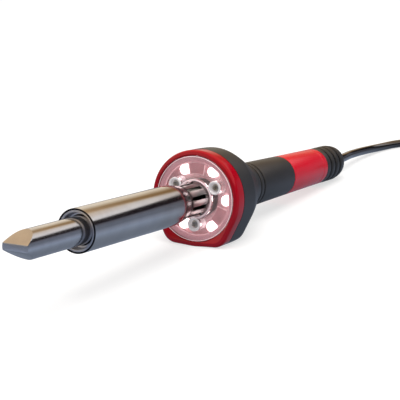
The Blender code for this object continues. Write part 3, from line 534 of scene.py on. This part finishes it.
cordLook = {
    "radius": 0.002,
    "length": 1.11,
    "exit": (0.1247, 0.0, 0.0071),
    "run": [
        (0.1247, 0.0, 0.0071), (0.136, 0.0006, 0.0062), (0.1485, 0.0022, 0.0052), (0.156, 0.0026, 0.0046),
        (0.164, 0.0028, 0.0039), (0.172, 0.0026, 0.0032), (0.179, 0.0021, 0.0026), (0.185, 0.0012, 0.0022),
        (0.1906, -0.0001, 0.0020), (0.1955, -0.0019, 0.0020), (0.200, -0.0044, 0.0020),
        (0.2079, -0.0090, 0.0020), (0.2158, -0.0136, 0.0020), (0.2237, -0.0180, 0.0020),
        (0.2316, -0.0223, 0.0020), (0.2395, -0.0263, 0.0020), (0.2430, -0.0280, 0.0020),
        (0.2505, -0.0320, 0.0020),
    ],
    "tail": [
        (0.2402, -0.0218, 0.0062), (0.2370, -0.0252, 0.0064), (0.2330, -0.0278, 0.0064),
        (0.2286, -0.0292, 0.0064), (0.2250, -0.0295, 0.0064), (0.2218, -0.0295, 0.0064),
    ],
    "coilMiddle": (0.2716, -0.01145),
    "firstTurn": -118.7,
    "outerTurn": 0.02816,
    "pitch": 0.00402,
    "layers": (0.0020, 0.00612),
    "tieLift": (0.00085, 0.00075),
    "tieAt": -90.0,
    "windFrom": 4.0,
    "windTo": 2459.0,
    "windStep": 12.0,
}


def easeStep(value, start, end):
    t = min(1.0, max(0.0, (value - start) / (end - start)))
    return t * t * (3.0 - 2.0 * t)


def coilPlaces():
    # degrees wound anticlockwise from above: four circles in, up one layer, then four circles out again
    places = []
    middle = cordLook["coilMiddle"]
    low, high = cordLook["layers"]
    travel = cordLook["windFrom"]
    while travel < cordLook["windTo"]:
        radius = cordLook["outerTurn"]
        for start in (225.0, 585.0, 945.0):
            radius -= cordLook["pitch"] * easeStep(travel, start, start + 150.0)
        for start in (1535.0, 1895.0, 2255.0):
            radius += cordLook["pitch"] * easeStep(travel, start, start + 150.0)
        climb = easeStep(travel, 1215.0, 1365.0)
        away = abs((cordLook["firstTurn"] + travel - cordLook["tieAt"] + 180.0) % 360.0 - 180.0)
        lift = cordLook["tieLift"][0] * (1.0 - climb) + cordLook["tieLift"][1] * climb
        height = low + (high - low) * climb + lift * (1.0 - easeStep(away, 12.0, 78.0))
        angle = radians(cordLook["firstTurn"] + travel)
        places.append((middle[0] + radius * cos(angle), middle[1] + radius * sin(angle), height))
        travel += cordLook["windStep"]
    return places


def smoothRoute(points, step):
    # a smooth curve through the points, with places about a step apart
    points = [Vector(p) for p in points]
    knots = [points[0] * 2.0 - points[1], *points, points[-1] * 2.0 - points[-2]]
    places = [points[0]]
    for before, start, end, after in zip(knots, knots[1:], knots[2:], knots[3:]):
        times = [0.0]
        for one, other in ((before, start), (start, end), (end, after)):
            times.append(times[-1] + math.sqrt((other - one).length))
        count = max(1, round((end - start).length / step))
        for k in range(1, count + 1):
            t = times[1] + (times[2] - times[1]) * k / count
            legs = []
            for i, (one, other) in enumerate(((before, start), (start, end), (end, after))):
                legs.append(one.lerp(other, (t - times[i]) / (times[i + 1] - times[i])))
            near = legs[0].lerp(legs[1], (t - times[0]) / (times[2] - times[0]))
            far = legs[1].lerp(legs[2], (t - times[1]) / (times[3] - times[1]))
            places.append(near.lerp(far, (t - times[1]) / (times[2] - times[1])))
    return places


def makeCord():
    route = smoothRoute(cordLook["run"] + coilPlaces() + cordLook["tail"], 0.0018)
    length = sum((b - a).length for a, b in zip(route, route[1:]))
    curve = bpy.data.curves.new("cord", "CURVE")
    curve.dimensions = "3D"
    curve.bevel_depth = cordLook["radius"]
    curve.bevel_resolution = 4
    curve.use_fill_caps = True
    spline = curve.splines.new("POLY")
    spline.points.add(len(route) - 1)
    for point, place in zip(spline.points, route):
        point.co = (*place, 1.0)
    curve.materials.append(finishes["cordJacket"])
    cord = newObject("cord", curve)
    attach(cord, "iron")
    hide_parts("cord_run", "cord_coil", "cord_tail")
    print("cord length", round(length, 4), "points", len(route))
    return cord


cord = makeCord()


tipLook = {
    "radius": 0.005,
    "noseAt": -0.0337,
    "flatsEnd": -0.0269,
    "noseHalf": 0.0012,
    "end": 0.048,
}


def makeTip():
    radius, noseAt = tipLook["radius"], tipLook["noseAt"]
    rows = [(noseAt, 0.0)] + [(noseAt + 0.001 * k, radius) for k in range(11)]
    rows += [(tipLook["end"], radius, 0.0004), (tipLook["end"], 0.0)]
    bm = turnedMesh(rows, 160, 4)
    rise = radius - tipLook["noseHalf"]
    run = tipLook["flatsEnd"] - noseAt
    for side in (1.0, -1.0):
        normal = Vector((-rise, 0.0, side * run)).normalized()
        cut = bmesh.ops.bisect_plane(
            bm, geom=bm.verts[:] + bm.edges[:] + bm.faces[:], dist=1e-7,
            plane_co=(noseAt, 0.0, side * tipLook["noseHalf"]), plane_no=normal, clear_outer=True,
        )
        edges = [e for e in cut["geom_cut"] if isinstance(e, bmesh.types.BMEdge)]
        bmesh.ops.contextual_create(bm, geom=edges)
    bmesh.ops.remove_doubles(bm, verts=bm.verts[:], dist=1e-6)
    tip = addPiece("tip_bar_plated", bm, "platedTip", "tip", "tip_bar")
    softenEdges(tip, 0.00018, 3, 20.0, 40.0)


screwLook = {
    "at": 0.0055,
    "radius": 0.0012,
    "top": -0.0053,
    "bottom": -0.00764,
    "threads": 6,
    "threadDepth": 0.00014,
    "socket": 0.0007,
    "socketDepth": 0.0012,
    "holeRadius": 0.0015,
}


def makeGrubScrew():
    at, radius = screwLook["at"], screwLook["radius"]
    top, bottom = screwLook["top"], screwLook["bottom"]
    rows = [(bottom, radius - 0.00025)]
    for k in range(screwLook["threads"]):
        low = bottom + 0.0002 + k * (top - bottom - 0.0004) / screwLook["threads"]
        rows.append((low, radius))
        rows.append((low + 0.00018, radius - screwLook["threadDepth"]))
    rows.append((top - 0.0002, radius))
    rows.append((top, radius - 0.00025))
    angles = turnAngles(40, 0.0)
    sizes = [(up, [reach] * 40) for up, reach in rows]
    hexagon = [screwLook["socket"] * cos(pi / 6) / cos((a % (pi / 3)) - pi / 6) for a in angles]
    for up in (bottom, bottom + screwLook["socketDepth"]):  # hex socket in the lower end
        sizes.insert(0, (up, hexagon))
    rings = [
        [(at + reach * cos(a), reach * sin(a), up) for a, reach in zip(angles, size)]
        for up, size in sizes
    ]
    addPiece("grub_screw_threaded", skinMesh(rings), "blackenedScrew", "tip_screw",
             "grub_screw")


makeTip()
makeGrubScrew()
print("tip is ground and its screw is cut")


barrelLook = {
    "radius": 0.00774,
    "wall": 0.0006,
    "end": 0.0665,
    "cone": 0.0050,
    "neck": 0.0066,
}


def screwHole():
    at = screwLook["at"]
    return rodMesh((at, 0.0, -0.0035), (at, 0.0, -0.010), screwLook["holeRadius"])


def makeBarrel():
    radius = barrelLook["radius"]
    inner = radius - barrelLook["wall"]
    end, neck = barrelLook["end"], barrelLook["neck"]
    start = end - barrelLook["cone"]
    rows = [
        (0.0, inner, 0.0001),
        (0.0, radius, 0.00022),
        (start, radius, 0.0020),
        (end, neck + 0.0004, 0.0004),
        (end, neck),
        (start + 0.0003, neck),
        (start - 0.0006, inner),
    ]
    barrel = addPiece("barrel_polished", turnedMesh(rows, 160, 5), "polishedBarrel", "barrel")
    applyCuts(barrel, [screwHole()])
    barrel.data.set_sharp_from_angle(angle=radians(28))


def makeFrontCollar():
    outer = barrelLook["radius"] - barrelLook["wall"] - 0.00004
    rows = [
        (0.0030, 0.0053, 0.0002),
        (0.0030, 0.0061, 0.0003),
        (0.0005, 0.0064, 0.0001),
        (0.0003, 0.0064, 0.0001),
        (0.0003, 0.0065, 0.00005),
        (0.0002, 0.0066, 0.00005),
        (0.0002, outer, 0.00003),
        (0.0094, outer, 0.0002),
        (0.0094, 0.0053, 0.0001),
    ]
    collar = addPiece("front_collar_turned", turnedMesh(rows, 128, 4), "turnedCollar", "front_collar")
    applyCuts(collar, [screwHole()])


tubeLook = {
    "radius": 0.0063,
    "wall": 0.0006,
    "start": 0.0526,
    "end": 0.096,
    "slots": 10,
    "slotFrom": 0.069,
    "slotTo": 0.0798,
    "slotHalf": 0.0008,
}


def makeRearTube():
    radius = tubeLook["radius"]
    inner = radius - tubeLook["wall"]
    start, end = tubeLook["start"], tubeLook["end"]
    rows = [(start, inner), (start, radius, 0.0002), (end, radius, 0.0002), (end, inner)]
    tube = addPiece("rear_tube_slotted", turnedMesh(rows, 120), "rearTubeSteel", "rear_tube")
    slots = []
    half = tubeLook["slotHalf"]
    for k in range(tubeLook["slots"]):
        angle = 360.0 * (k + 0.5) / tubeLook["slots"]
        across = polar(0.0, 1.0, angle + 90.0)
        shape = []
        for middle, first in ((tubeLook["slotTo"] - half, -90.0), (tubeLook["slotFrom"] + half, 90.0)):
            for i in range(17):  # round ends
                turn = radians(first + 180.0 * i / 16)
                shape.append((middle + half * cos(turn), half * sin(turn)))
        rings = []
        for reach in (0.0045, 0.0076):
            base = polar(0.0, reach, angle)
            rings.append([base + across * side + Vector((x, 0.0, 0.0)) for x, side in shape])
        slots.append(skinMesh(rings))
    applyCuts(tube, [joinMeshes(slots)])
    tube.data.set_sharp_from_angle(angle=radians(28))


makeBarrel()
makeFrontCollar()
makeRearTube()
print("barrel, collar and rear tube are turned")


lensLook = {
    "front": 0.0808,
    "radius": 0.0166,
    "hole": 0.00685,
    "thick": 0.002,
    "bossCircle": 0.010,
    "bossRadius": 0.0027,
    "headRadius": 0.0019,
    "headDepth": 0.0022,
    "boardFront": 0.0869,
    "padInner": 0.0098,
    "padOuter": 0.0138,
    "padSpread": 14.0,
    "padRise": 0.0003,
    "bossAngles": (30.0, 150.0, 270.0),
    "padAngles": (90.0, 210.0, 330.0),
}


def padMesh(angle, inner, outer, spread, low, high):
    inside = spread * 1.15
    corners = [(outer, angle - spread + 2.0 * spread * i / 16) for i in range(17)]
    corners += [(inner, angle + inside - 2.0 * inside * i / 12) for i in range(13)]
    return skinMesh([[polar(station, *corner) for corner in corners] for station in (low, high)])


def ringMesh(inner, outer, low, high):
    return turnedMesh([(high, inner), (low, 0.5 * (inner + outer), 0.0001), (high, outer)], 144)


def makeLens():
    front, radius, hole = lensLook["front"], lensLook["radius"], lensLook["hole"]
    back = front + lensLook["thick"]
    rows = [
        (front + 0.0004, hole, 0.0001),
        (front - 0.0001, hole + 0.0003, 0.0002),
        (front - 0.0001, hole + 0.0010, 0.0001),
        (front + 0.0003, hole + 0.0012, 0.0001),
        (front + 0.0003, radius - 0.0022, 0.0001),
        (front, radius - 0.0020, 0.0001),
        (front, radius - 0.0003, 0.0001),
        (front + 0.0003, radius, 0.0001),
        (back, radius),
        (back, hole),
    ]
    lens = addPiece("halo_lens_clear", turnedMesh(rows, 144), "clearLens", "halo_lens")
    bossBack = lensLook["boardFront"] - 0.0003
    circle, boss, head = lensLook["bossCircle"], lensLook["bossRadius"], lensLook["headRadius"]
    wells, bosses = [], []
    for angle in lensLook["bossAngles"]:
        start, end = polar(front - 0.001, circle, angle), polar(back + 0.001, circle, angle)
        wells.append(rodMesh(start, end, boss + 0.00005, 48))
        ring = turnedMesh([
            (front - 0.0003, head + 0.0002, 0.0001), (front - 0.0003, boss - 0.0002, 0.0001),
            (front + 0.0001, boss, 0.0001), (bossBack, boss, 0.0001), (bossBack, 0.0011),
            (front + lensLook["headDepth"], 0.0011), (front + lensLook["headDepth"], head),
            (front - 0.0001, head, 0.0001),
        ], 56)
        bosses.append(movedMesh(ring, polar(0.0, circle, angle)))
    applyCuts(lens, wells)
    lens.data.shade_smooth()
    lens.data.set_sharp_from_angle(angle=radians(30))
    addPiece("halo_lens_bosses", joinMeshes(bosses), "screwBossesPaintedGlow", "halo_lens")
    face, top = back + 0.0005, back + 0.0005 - lensLook["padRise"]  # embossed on the back
    spread, inner, outer = lensLook["padSpread"], lensLook["padInner"], lensLook["padOuter"]
    pads, frames = [], []
    for angle in lensLook["padAngles"]:
        pads.append(padMesh(angle, inner, outer, spread, top + 0.00008, face + 0.00002))
        frames.append(padMesh(angle, inner - 0.0003, outer + 0.0003, spread + 1.4, top, face + 0.00001))
    addPiece("halo_lens_pads", joinMeshes(pads), "lensPadsPaintedGlow", "halo_lens")
    edges = addPiece("halo_lens_edges", joinMeshes(frames), "edgesPaintedGlow", "halo_lens")
    applyCuts(edges, [
        padMesh(angle, inner - 0.00002, outer + 0.00002, spread + 0.1, top - 0.001, face + 0.001)
        for angle in lensLook["padAngles"]
    ])
    rings = [
        ringMesh(radius - 0.0024, radius - 0.0020, back + 0.00005, back + 0.0006),
        ringMesh(hole + 0.0001, hole + 0.0008, front - 0.00035, front - 0.00005),
        ringMesh(radius - 0.0004, radius - 0.0001, front - 0.0001, front + 0.0001),
    ]
    band = turnedMesh([
        (back + 0.0001, radius - 0.0020), (back + 0.0001, radius - 0.0001, 0.0002),
        (back + 0.0010, radius - 0.0001), (back + 0.0010, radius - 0.0020),
    ], 144)
    addPiece("halo_lens_band", band, "lensRingPaintedGlow", "halo_lens")
    addPiece("halo_lens_rims", joinMeshes(rings), "edgesPaintedGlow", "halo_lens")


lensScrewLook = {"end": 0.0932, "crossLong": 0.00095, "crossWide": 0.00018, "crossTurn": 25.0}


def makeLensScrews():
    seat = lensLook["front"] + lensLook["headDepth"] - 0.0003
    end = lensScrewLook["end"]
    for index, angle in enumerate(lensLook["bossAngles"]):
        place = polar(0.0, lensLook["bossCircle"], angle)
        bm = turnedMesh([
            (seat - 0.0007, 0.0), (seat - 0.0007, 0.0007, 0.0001), (seat - 0.0012, 0.0009, 0.0001),
            (seat - 0.0011, 0.0013, 0.0002), (seat - 0.0006, 0.0016, 0.0003), (seat, 0.0016, 0.0001),
            (seat, 0.0008), (end, 0.0008, 0.0002), (end, 0.0),
        ], 40)
        node = f"lens_screw_{index + 1}"
        screw = addPiece(f"{node}_nickel", movedMesh(bm, place), "nickelScrew", node)
        slots = []
        for turn in (0.0, 90.0):  # cross drive
            across = polar(0.0, 1.0, turn + lensScrewLook["crossTurn"])
            side = polar(0.0, 1.0, turn + lensScrewLook["crossTurn"] + 90.0)
            rings = []
            for station, share in ((seat - 0.0014, 1.0), (seat - 0.0004, 0.4)):
                middle = place + Vector((station, 0.0, 0.0))
                long, wide = across * (lensScrewLook["crossLong"] * share), side * lensScrewLook["crossWide"]
                corners = ((-1, -1), (1, -1), (1, 1), (-1, 1))
                rings.append([middle + long * u + wide * v for u, v in corners])
            slots.append(skinMesh(rings))
        applyCuts(screw, slots)


lightLook = {"count": 6, "circle": 0.0123, "radius": 0.0021, "side": 0.0021, "rise": 0.0010}


def makeLights():
    base = lensLook["boardFront"] - 0.0003
    radius = lightLook["radius"]
    shoulder = base - lightLook["side"]
    dome = [(base, 0.0), (base, radius), (shoulder, radius)]
    for k in range(1, 8):
        turn = radians(90.0 * k / 8)
        dome.append((shoulder - lightLook["rise"] * sin(turn), radius * cos(turn)))
    dome.append((shoulder - lightLook["rise"], 0.0))
    for index in range(lightLook["count"]):
        place = polar(0.0, lightLook["circle"], 360.0 * index / lightLook["count"])
        bm = movedMesh(turnedMesh(dome, 40), place)
        node = f"light_{index + 1}"
        light = addPiece(f"{node}_dome", bm, "litDome", node)
        light.visible_glossy = False


makeLens()
makeLensScrews()
makeLights()
print("halo lens is moulded and lit")


footLook = {"radius": 0.0189, "centre": (0.0083, -0.0123), "reach": 0.006}


def floorDepth(station):
    return ironFrame["flatDepth"] - (station - ironFrame["flatFront"]) * math.tan(tilt)


def footPoint(angle, radius):
    # the section is a circle run out to two rounded feet, found by the direction it faces
    share = radius / footLook["radius"]
    side, up = cos(angle), sin(angle)
    best = (radius, (radius * side, radius * up))
    for sign in (-1.0, 1.0):
        across, below = sign * footLook["centre"][0] * share, footLook["centre"][1] * share
        reach = footLook["reach"] * share
        support = across * side + below * up + reach
        if support > best[0]:
            best = (support, (across + reach * side, below + reach * up))
    return best[1]


def footedMesh(rows, sides=200):
    # rows are (station, radius, share of foot)
    rings = []
    for station, radius, foot in rows:
        ring = []
        for angle in turnAngles(sides):
            across, up = radius * cos(angle), radius * sin(angle)
            if foot:
                footed = footPoint(angle, radius)
                across += (footed[0] - across) * foot
                up += (footed[1] - up) * foot
                up = max(up, -floorDepth(station))
            ring.append((station, across, up))
        rings.append(ring)
    return skinMesh(rings, closed=True)


def easedRows(rows, steps):
    # the same easing for rows that carry a share of foot
    eased = []
    for station, radius in easedOutline([row[:3] for row in rows], steps):
        nearest = min(rows, key=lambda row: (row[0] - station) ** 2 + (row[1] - radius) ** 2)
        eased.append((station, radius, nearest[3]))
    return eased


bezelLook = {"back": 0.0865, "gap": 0.0003, "seat": 0.0163, "lip": 0.0159}


def makeBezel():
    front, bore = lensLook["front"], lensLook["radius"] + bezelLook["gap"]
    back, seat, lip = bezelLook["back"], bezelLook["seat"], bezelLook["lip"]
    rows = easedRows([
        (front + 0.0001, bore, 0.0001, 0.0),
        (front - 0.0001, bore + 0.0003, 0.0001, 1.0),
        (front + 0.0001, 0.0184, 0.0003, 1.0),
        (front + 0.0010, 0.0189, 0.0008, 1.0),
        (back, 0.0188, 0.0001, 1.0),
        (back, seat, 0.0, 0.0),
        (back + 0.0020, seat, 0.0001, 0.0),
        (back + 0.0020, lip, 0.0, 0.0),
        (back - 0.0024, lip, 0.0, 0.0),
        (back - 0.0024, bore, 0.0, 0.0),
    ], 6)
    addPiece("bezel_red", footedMesh(rows), "bezelRed", "bezel", sharp=38.0)


housingLook = {
    "front": 0.0868,
    "outer": [
        (0.0868, 0.0188), (0.0900, 0.01875), (0.0945, 0.0186), (0.0970, 0.0184), (0.0985, 0.0179),
        (0.1010, 0.0170), (0.1055, 0.0152), (0.1105, 0.0129), (0.1150, 0.0108), (0.1172, 0.0099),
        (0.1190, 0.0095), (0.1203, 0.0093),
    ],
    "footFades": (0.1165, 0.1190),
    "neckBore": 0.0075,
}


def makeHousing():
    bore = housingLook["neckBore"]
    inside = [
        (0.1205, 0.0091), (0.1206, 0.0089), (0.1206, bore), (0.1085, bore), (0.1055, 0.0131),
        (0.1000, 0.0157), (0.0935, 0.0162), (0.0935, 0.0071), (0.0911, 0.0071), (0.0911, 0.0167),
    ]
    rows = [(housingLook["front"], 0.0167, 0.0)]
    for place in smoothRoute([(s, r, 0.0) for s, r in housingLook["outer"]], 0.0007):
        rows.append((place.x, place.y, 1.0 - easeStep(place.x, *housingLook["footFades"])))
    rows += [(station, radius, 0.0) for station, radius in inside]
    housing = addPiece("housing_black", footedMesh(rows), "housingBlack", "housing",
                       sharp=38.0)
    holes = []
    for index in range(3):
        for circle, angle in ((0.010, 30.0 + 120.0 * index), (0.0117, 90.0 + 120.0 * index)):
            holes.append(rodMesh(polar(0.0891, circle, angle), polar(0.0955, circle, angle), 0.0011, 20))
    applyCuts(housing, holes)


makeBezel()
makeHousing()
print("bezel and housing are moulded")


handleLook = {
    "bore": 0.0075,
    "neckRing": (0.1216, 0.1239, 0.0092, 0.00915),
    "grip": (0.1250, 0.15465, 0.00912, 0.0086),
    "sleeve": (0.15495, 0.1908, 0.0086, 0.0081),
    "sleeveRings": [(0.1868, 0.00012, 0.0003)],
}


def sleeveMesh(part, ease, rings=()):
    front, back, frontRadius, backRadius = handleLook[part]
    bore = handleLook["bore"]
    rows = [(front, bore, 0.0), (front, frontRadius, ease)]
    for station, depth, half in rings:  # shallow rings pressed into the outside
        share = (station - front) / (back - front)
        radius = frontRadius + (backRadius - frontRadius) * share
        rows += [(station - half, radius, half * 0.4), (station - half * 0.5, radius - depth, half * 0.3),
                 (station + half * 0.5, radius - depth, half * 0.3), (station + half, radius, half * 0.4)]
    rows += [(back, backRadius, ease), (back, bore, 0.0)]
    return turnedMesh(rows, 144, 4)


def makeHandle():
    addPiece("neck_ring_rubber", sleeveMesh("neckRing", 0.0004), "gripRubber", "neck_ring")
    addPiece("front_grip_rubber", sleeveMesh("grip", 0.0004), "gripRubber", "front_grip")
    addPiece("rear_sleeve_red", sleeveMesh("sleeve", 0.0003, handleLook["sleeveRings"]), "redSleeve",
             "rear_sleeve")


bootLook = {
    "front": 0.1912,
    "radius": 0.0081,
    "cordHole": 0.0023,
    "plugFront": 0.1943,
    "grooves": (0.1958, 0.2006, 0.2055),
    "grooveDepth": 0.0016,
    "dome": [
        (0.2070, 0.0080), (0.2088, 0.0078), (0.2108, 0.0074), (0.2130, 0.0065), (0.2150, 0.0051),
        (0.2160, 0.0040),
    ],
}


def makeBoot():
    front, radius, bore = bootLook["front"], bootLook["radius"], handleLook["bore"]
    floor = radius - bootLook["grooveDepth"]
    rows = [(front, bore, 0.0), (front, radius - 0.0001, 0.0004)]
    for groove in bootLook["grooves"]:
        rows += [(groove - 0.0011, radius, 0.0004), (groove - 0.0006, floor, 0.0002),
                 (groove + 0.0006, floor, 0.0002), (groove + 0.0011, radius, 0.0004)]
    rows.append((*bootLook["dome"][0], 0.0004))
    dome = smoothRoute([(s, r, 0.0) for s, r in bootLook["dome"]], 0.0006)
    rows += [(p.x, p.y, 0.0) for p in dome[1:]]
    hole, plugFront = bootLook["cordHole"], bootLook["plugFront"]
    rows += [(bootLook["dome"][-1][0], hole, 0.0001), (plugFront, hole, 0.0), (plugFront, bore, 0.0)]
    addPiece("cord_boot_ribbed", turnedMesh(rows, 144, 4), "gripRubber", "cord_boot")
    # near-black matte rings set into the boot's grooves: painted shade
    floors = [
        turnedMesh([
            (groove - 0.0008, radius - 0.0018), (groove - 0.0008, radius - 0.0006, 0.0001),
            (groove + 0.0008, radius - 0.0006, 0.0001), (groove + 0.0008, radius - 0.0018),
        ], 120)
        for groove in bootLook["grooves"]
    ]
    addPiece("cord_boot_groove_shade", joinMeshes(floors), "blackCoreAndGrooveShade", "cord_boot")


makeHandle()
makeBoot()
print("grip, sleeve and boot are fitted")


tieLook = {
    "fromMiddle": 0.02213,
    "half": 0.005,
    "thick": 0.0008,
    "inside": 0.00843,
    "bow": 0.0010,
    "top": 0.0089,
    "corner": 0.0012,
}


def makeTie():
    # a flat strap closed round the turns: its outer skin across the width, then its inner skin back
    x, y = cordLook["coilMiddle"][0], cordLook["coilMiddle"][1] - tieLook["fromMiddle"]
    thick, half, top = tieLook["thick"], tieLook["half"], tieLook["top"]
    low, high = -tieLook["inside"], tieLook["inside"] + tieLook["bow"]
    skin = []
    steps = 9
    for grow, way in ((thick, 1.0), (0.0, -1.0)):
        corner = tieLook["corner"] + grow
        loop = []
        for i in range(4):
            cx = (low - grow + corner) if i in (0, 3) else (high + grow - corner)
            cz = (thick - grow + corner) if i in (0, 1) else (top + grow - corner)
            for k in range(11):
                angle = radians(180.0 + 90.0 * i + 9.0 * k)
                loop.append((cx + corner * cos(angle), cz + corner * sin(angle)))
        for k in range(steps + 1):
            across = way * half * (2.0 * k / steps - 1.0)
            skin.append([(x + across, y + a, b) for a, b in loop])
    tie = addPiece("coil_tie_woven", skinMesh(skin, closed=True), "wovenStrap", "coil_tie",
                   onAxis=False)
    softenEdges(tie, 0.00015, 2, 40.0)
    return tie


plugLook = {
    "rear": (0.2215, -0.0295),
    "height": 0.0128,
    "sections": [
        (0.0000, 0.0026, 0.0026), (0.0004, 0.0030, 0.0030), (0.0040, 0.0032, 0.0032),
        (0.0180, 0.0040, 0.0040), (0.0188, 0.0058, 0.0047), (0.0200, 0.0078, 0.0054),
        (0.0225, 0.0091, 0.0061), (0.0260, 0.0100, 0.0064), (0.0350, 0.0105, 0.0064),
        (0.0440, 0.0110, 0.0064), (0.0465, 0.0110, 0.0064), (0.0472, 0.0109, 0.0062),
        (0.0475, 0.0105, 0.0058),
    ],
    "flexCuts": {"from": 0.004, "to": 0.0172, "depth": 0.00045, "pitch": 0.0033},
    "ribs": {"from": 0.0290, "to": 0.0410, "depth": 0.00035, "pitch": 0.0024},
}


bladeLook = {
    "gap": 0.0003,
    "side": 0.00635,
    "high": 0.00315,
    "thick": 0.00075,
    "sections": [(0.0, 1.0), (0.0150, 1.0), (0.0162, 0.86), (0.0170, 0.60)],
    "cornerPower": 0.25,
    "holeAt": 0.0135,
    "holeRadius": 0.0013,
}


def plugSection(along):
    rows = plugLook["sections"]
    for (a, wideA, highA), (b, wideB, highB) in zip(rows, rows[1:]):
        if along <= b:
            t = (along - a) / (b - a)
            return wideA + (wideB - wideA) * t, highA + (highB - highA) * t
    return rows[-1][1:]


def makePlug():
    rear, middleY = plugLook["rear"]
    middleZ = 0.5 * plugLook["height"]
    stations = sorted({row[0] for row in plugLook["sections"]} | {0.0005 * k for k in range(95)})
    rings = []
    flex, ribs = plugLook["flexCuts"], plugLook["ribs"]
    for along in stations:
        wide, high = plugSection(along)
        if flex["from"] < along < flex["to"]:  # flex slots in the strain relief
            wave = sin(2.0 * pi * (along - flex["from"]) / flex["pitch"])
            flexCut = flex["depth"] * max(0.0, wave)
            wide, high = wide - flexCut, high - flexCut
        if ribs["from"] < along < ribs["to"]:  # finger ribs
            wave = cos(2.0 * pi * (along - ribs["from"]) / ribs["pitch"])
            wide -= ribs["depth"] * (0.5 - 0.5 * wave)
        corner = min(high, wide)
        ring = []
        for angle in turnAngles(72):
            side, up = cos(angle), sin(angle)
            across = math.copysign(wide - corner, side) + corner * side
            lift = high * math.copysign(abs(up) ** 0.85, up)
            ring.append((rear - along, middleY + across, middleZ + lift))
        rings.append(ring)
    plug = addPiece("plug_moulded", skinMesh(rings), "plugRubber", "plug_body",
                    onAxis=False, sharp=45.0)
    face = rear - stations[-1] - bladeLook["gap"]
    blades = []
    power = bladeLook["cornerPower"]
    for index, side in enumerate((-bladeLook["side"], bladeLook["side"])):
        rings = []
        for along, share in bladeLook["sections"]:
            high, thick = bladeLook["high"] * share, bladeLook["thick"] * share
            ring = []
            for angle in turnAngles(24):
                u, v = cos(angle), sin(angle)
                ring.append((
                    face - along,
                    middleY + side + thick * math.copysign(abs(u) ** power, u),
                    middleZ + high * math.copysign(abs(v) ** power, v),
                ))
            rings.append(ring)
        blade = skinMesh(rings)
        node = f"plug_blade_{index + 1}"
        made = addPiece(f"{node}_nickel", blade, "pinNickel", node, onAxis=False)
        holeAt = face - bladeLook["holeAt"]
        start, end = [(holeAt, middleY + side + reach, middleZ) for reach in (-0.003, 0.003)]
        applyCuts(made, [rodMesh(start, end, bladeLook["holeRadius"])])
        blades.append(made)
    return [plug, *blades]


tie = makeTie()
plugPieces = makePlug()
print("plug and tie are on")


innerFinishes = {
    "heaterCeramic": ("heater_core", "heater_plug"),
    "resistanceWire": ("heater_winding",),
    "micaSheet": ("mica_sleeve", "dropper_resistor"),
    "turnedCollar": ("mounting_flange",),
    "blackenedScrew": ("flange_screw_1", "flange_screw_2", "flange_screw_3"),
    "whiteBoard": ("light_board",),
    "blackCoreAndGrooveShade": ("handle_core",),
    "driverBoardGreen": ("driver_board",),
    "mouldedCase": ("film_capacitor",),
    "housingBlack": ("rectifier", "clamp_lower", "clamp_upper"),
    "glassSleeving": ("heater_lead_1", "heater_lead_2"),
    "pinNickel": ("crimp_1", "crimp_2"),
    "wireBrown": ("cord_core_1", "light_lead_1"),
    "wireBlue": ("cord_core_2", "light_lead_2"),
    "cordJacket": ("cord_end",),
    "nickelScrew": ("clamp_screw_1", "clamp_screw_2"),
}
for finish, names in innerFinishes.items():
    for name in names:
        for place in nodes[name].material_slots:
            place.material = finishes[finish]
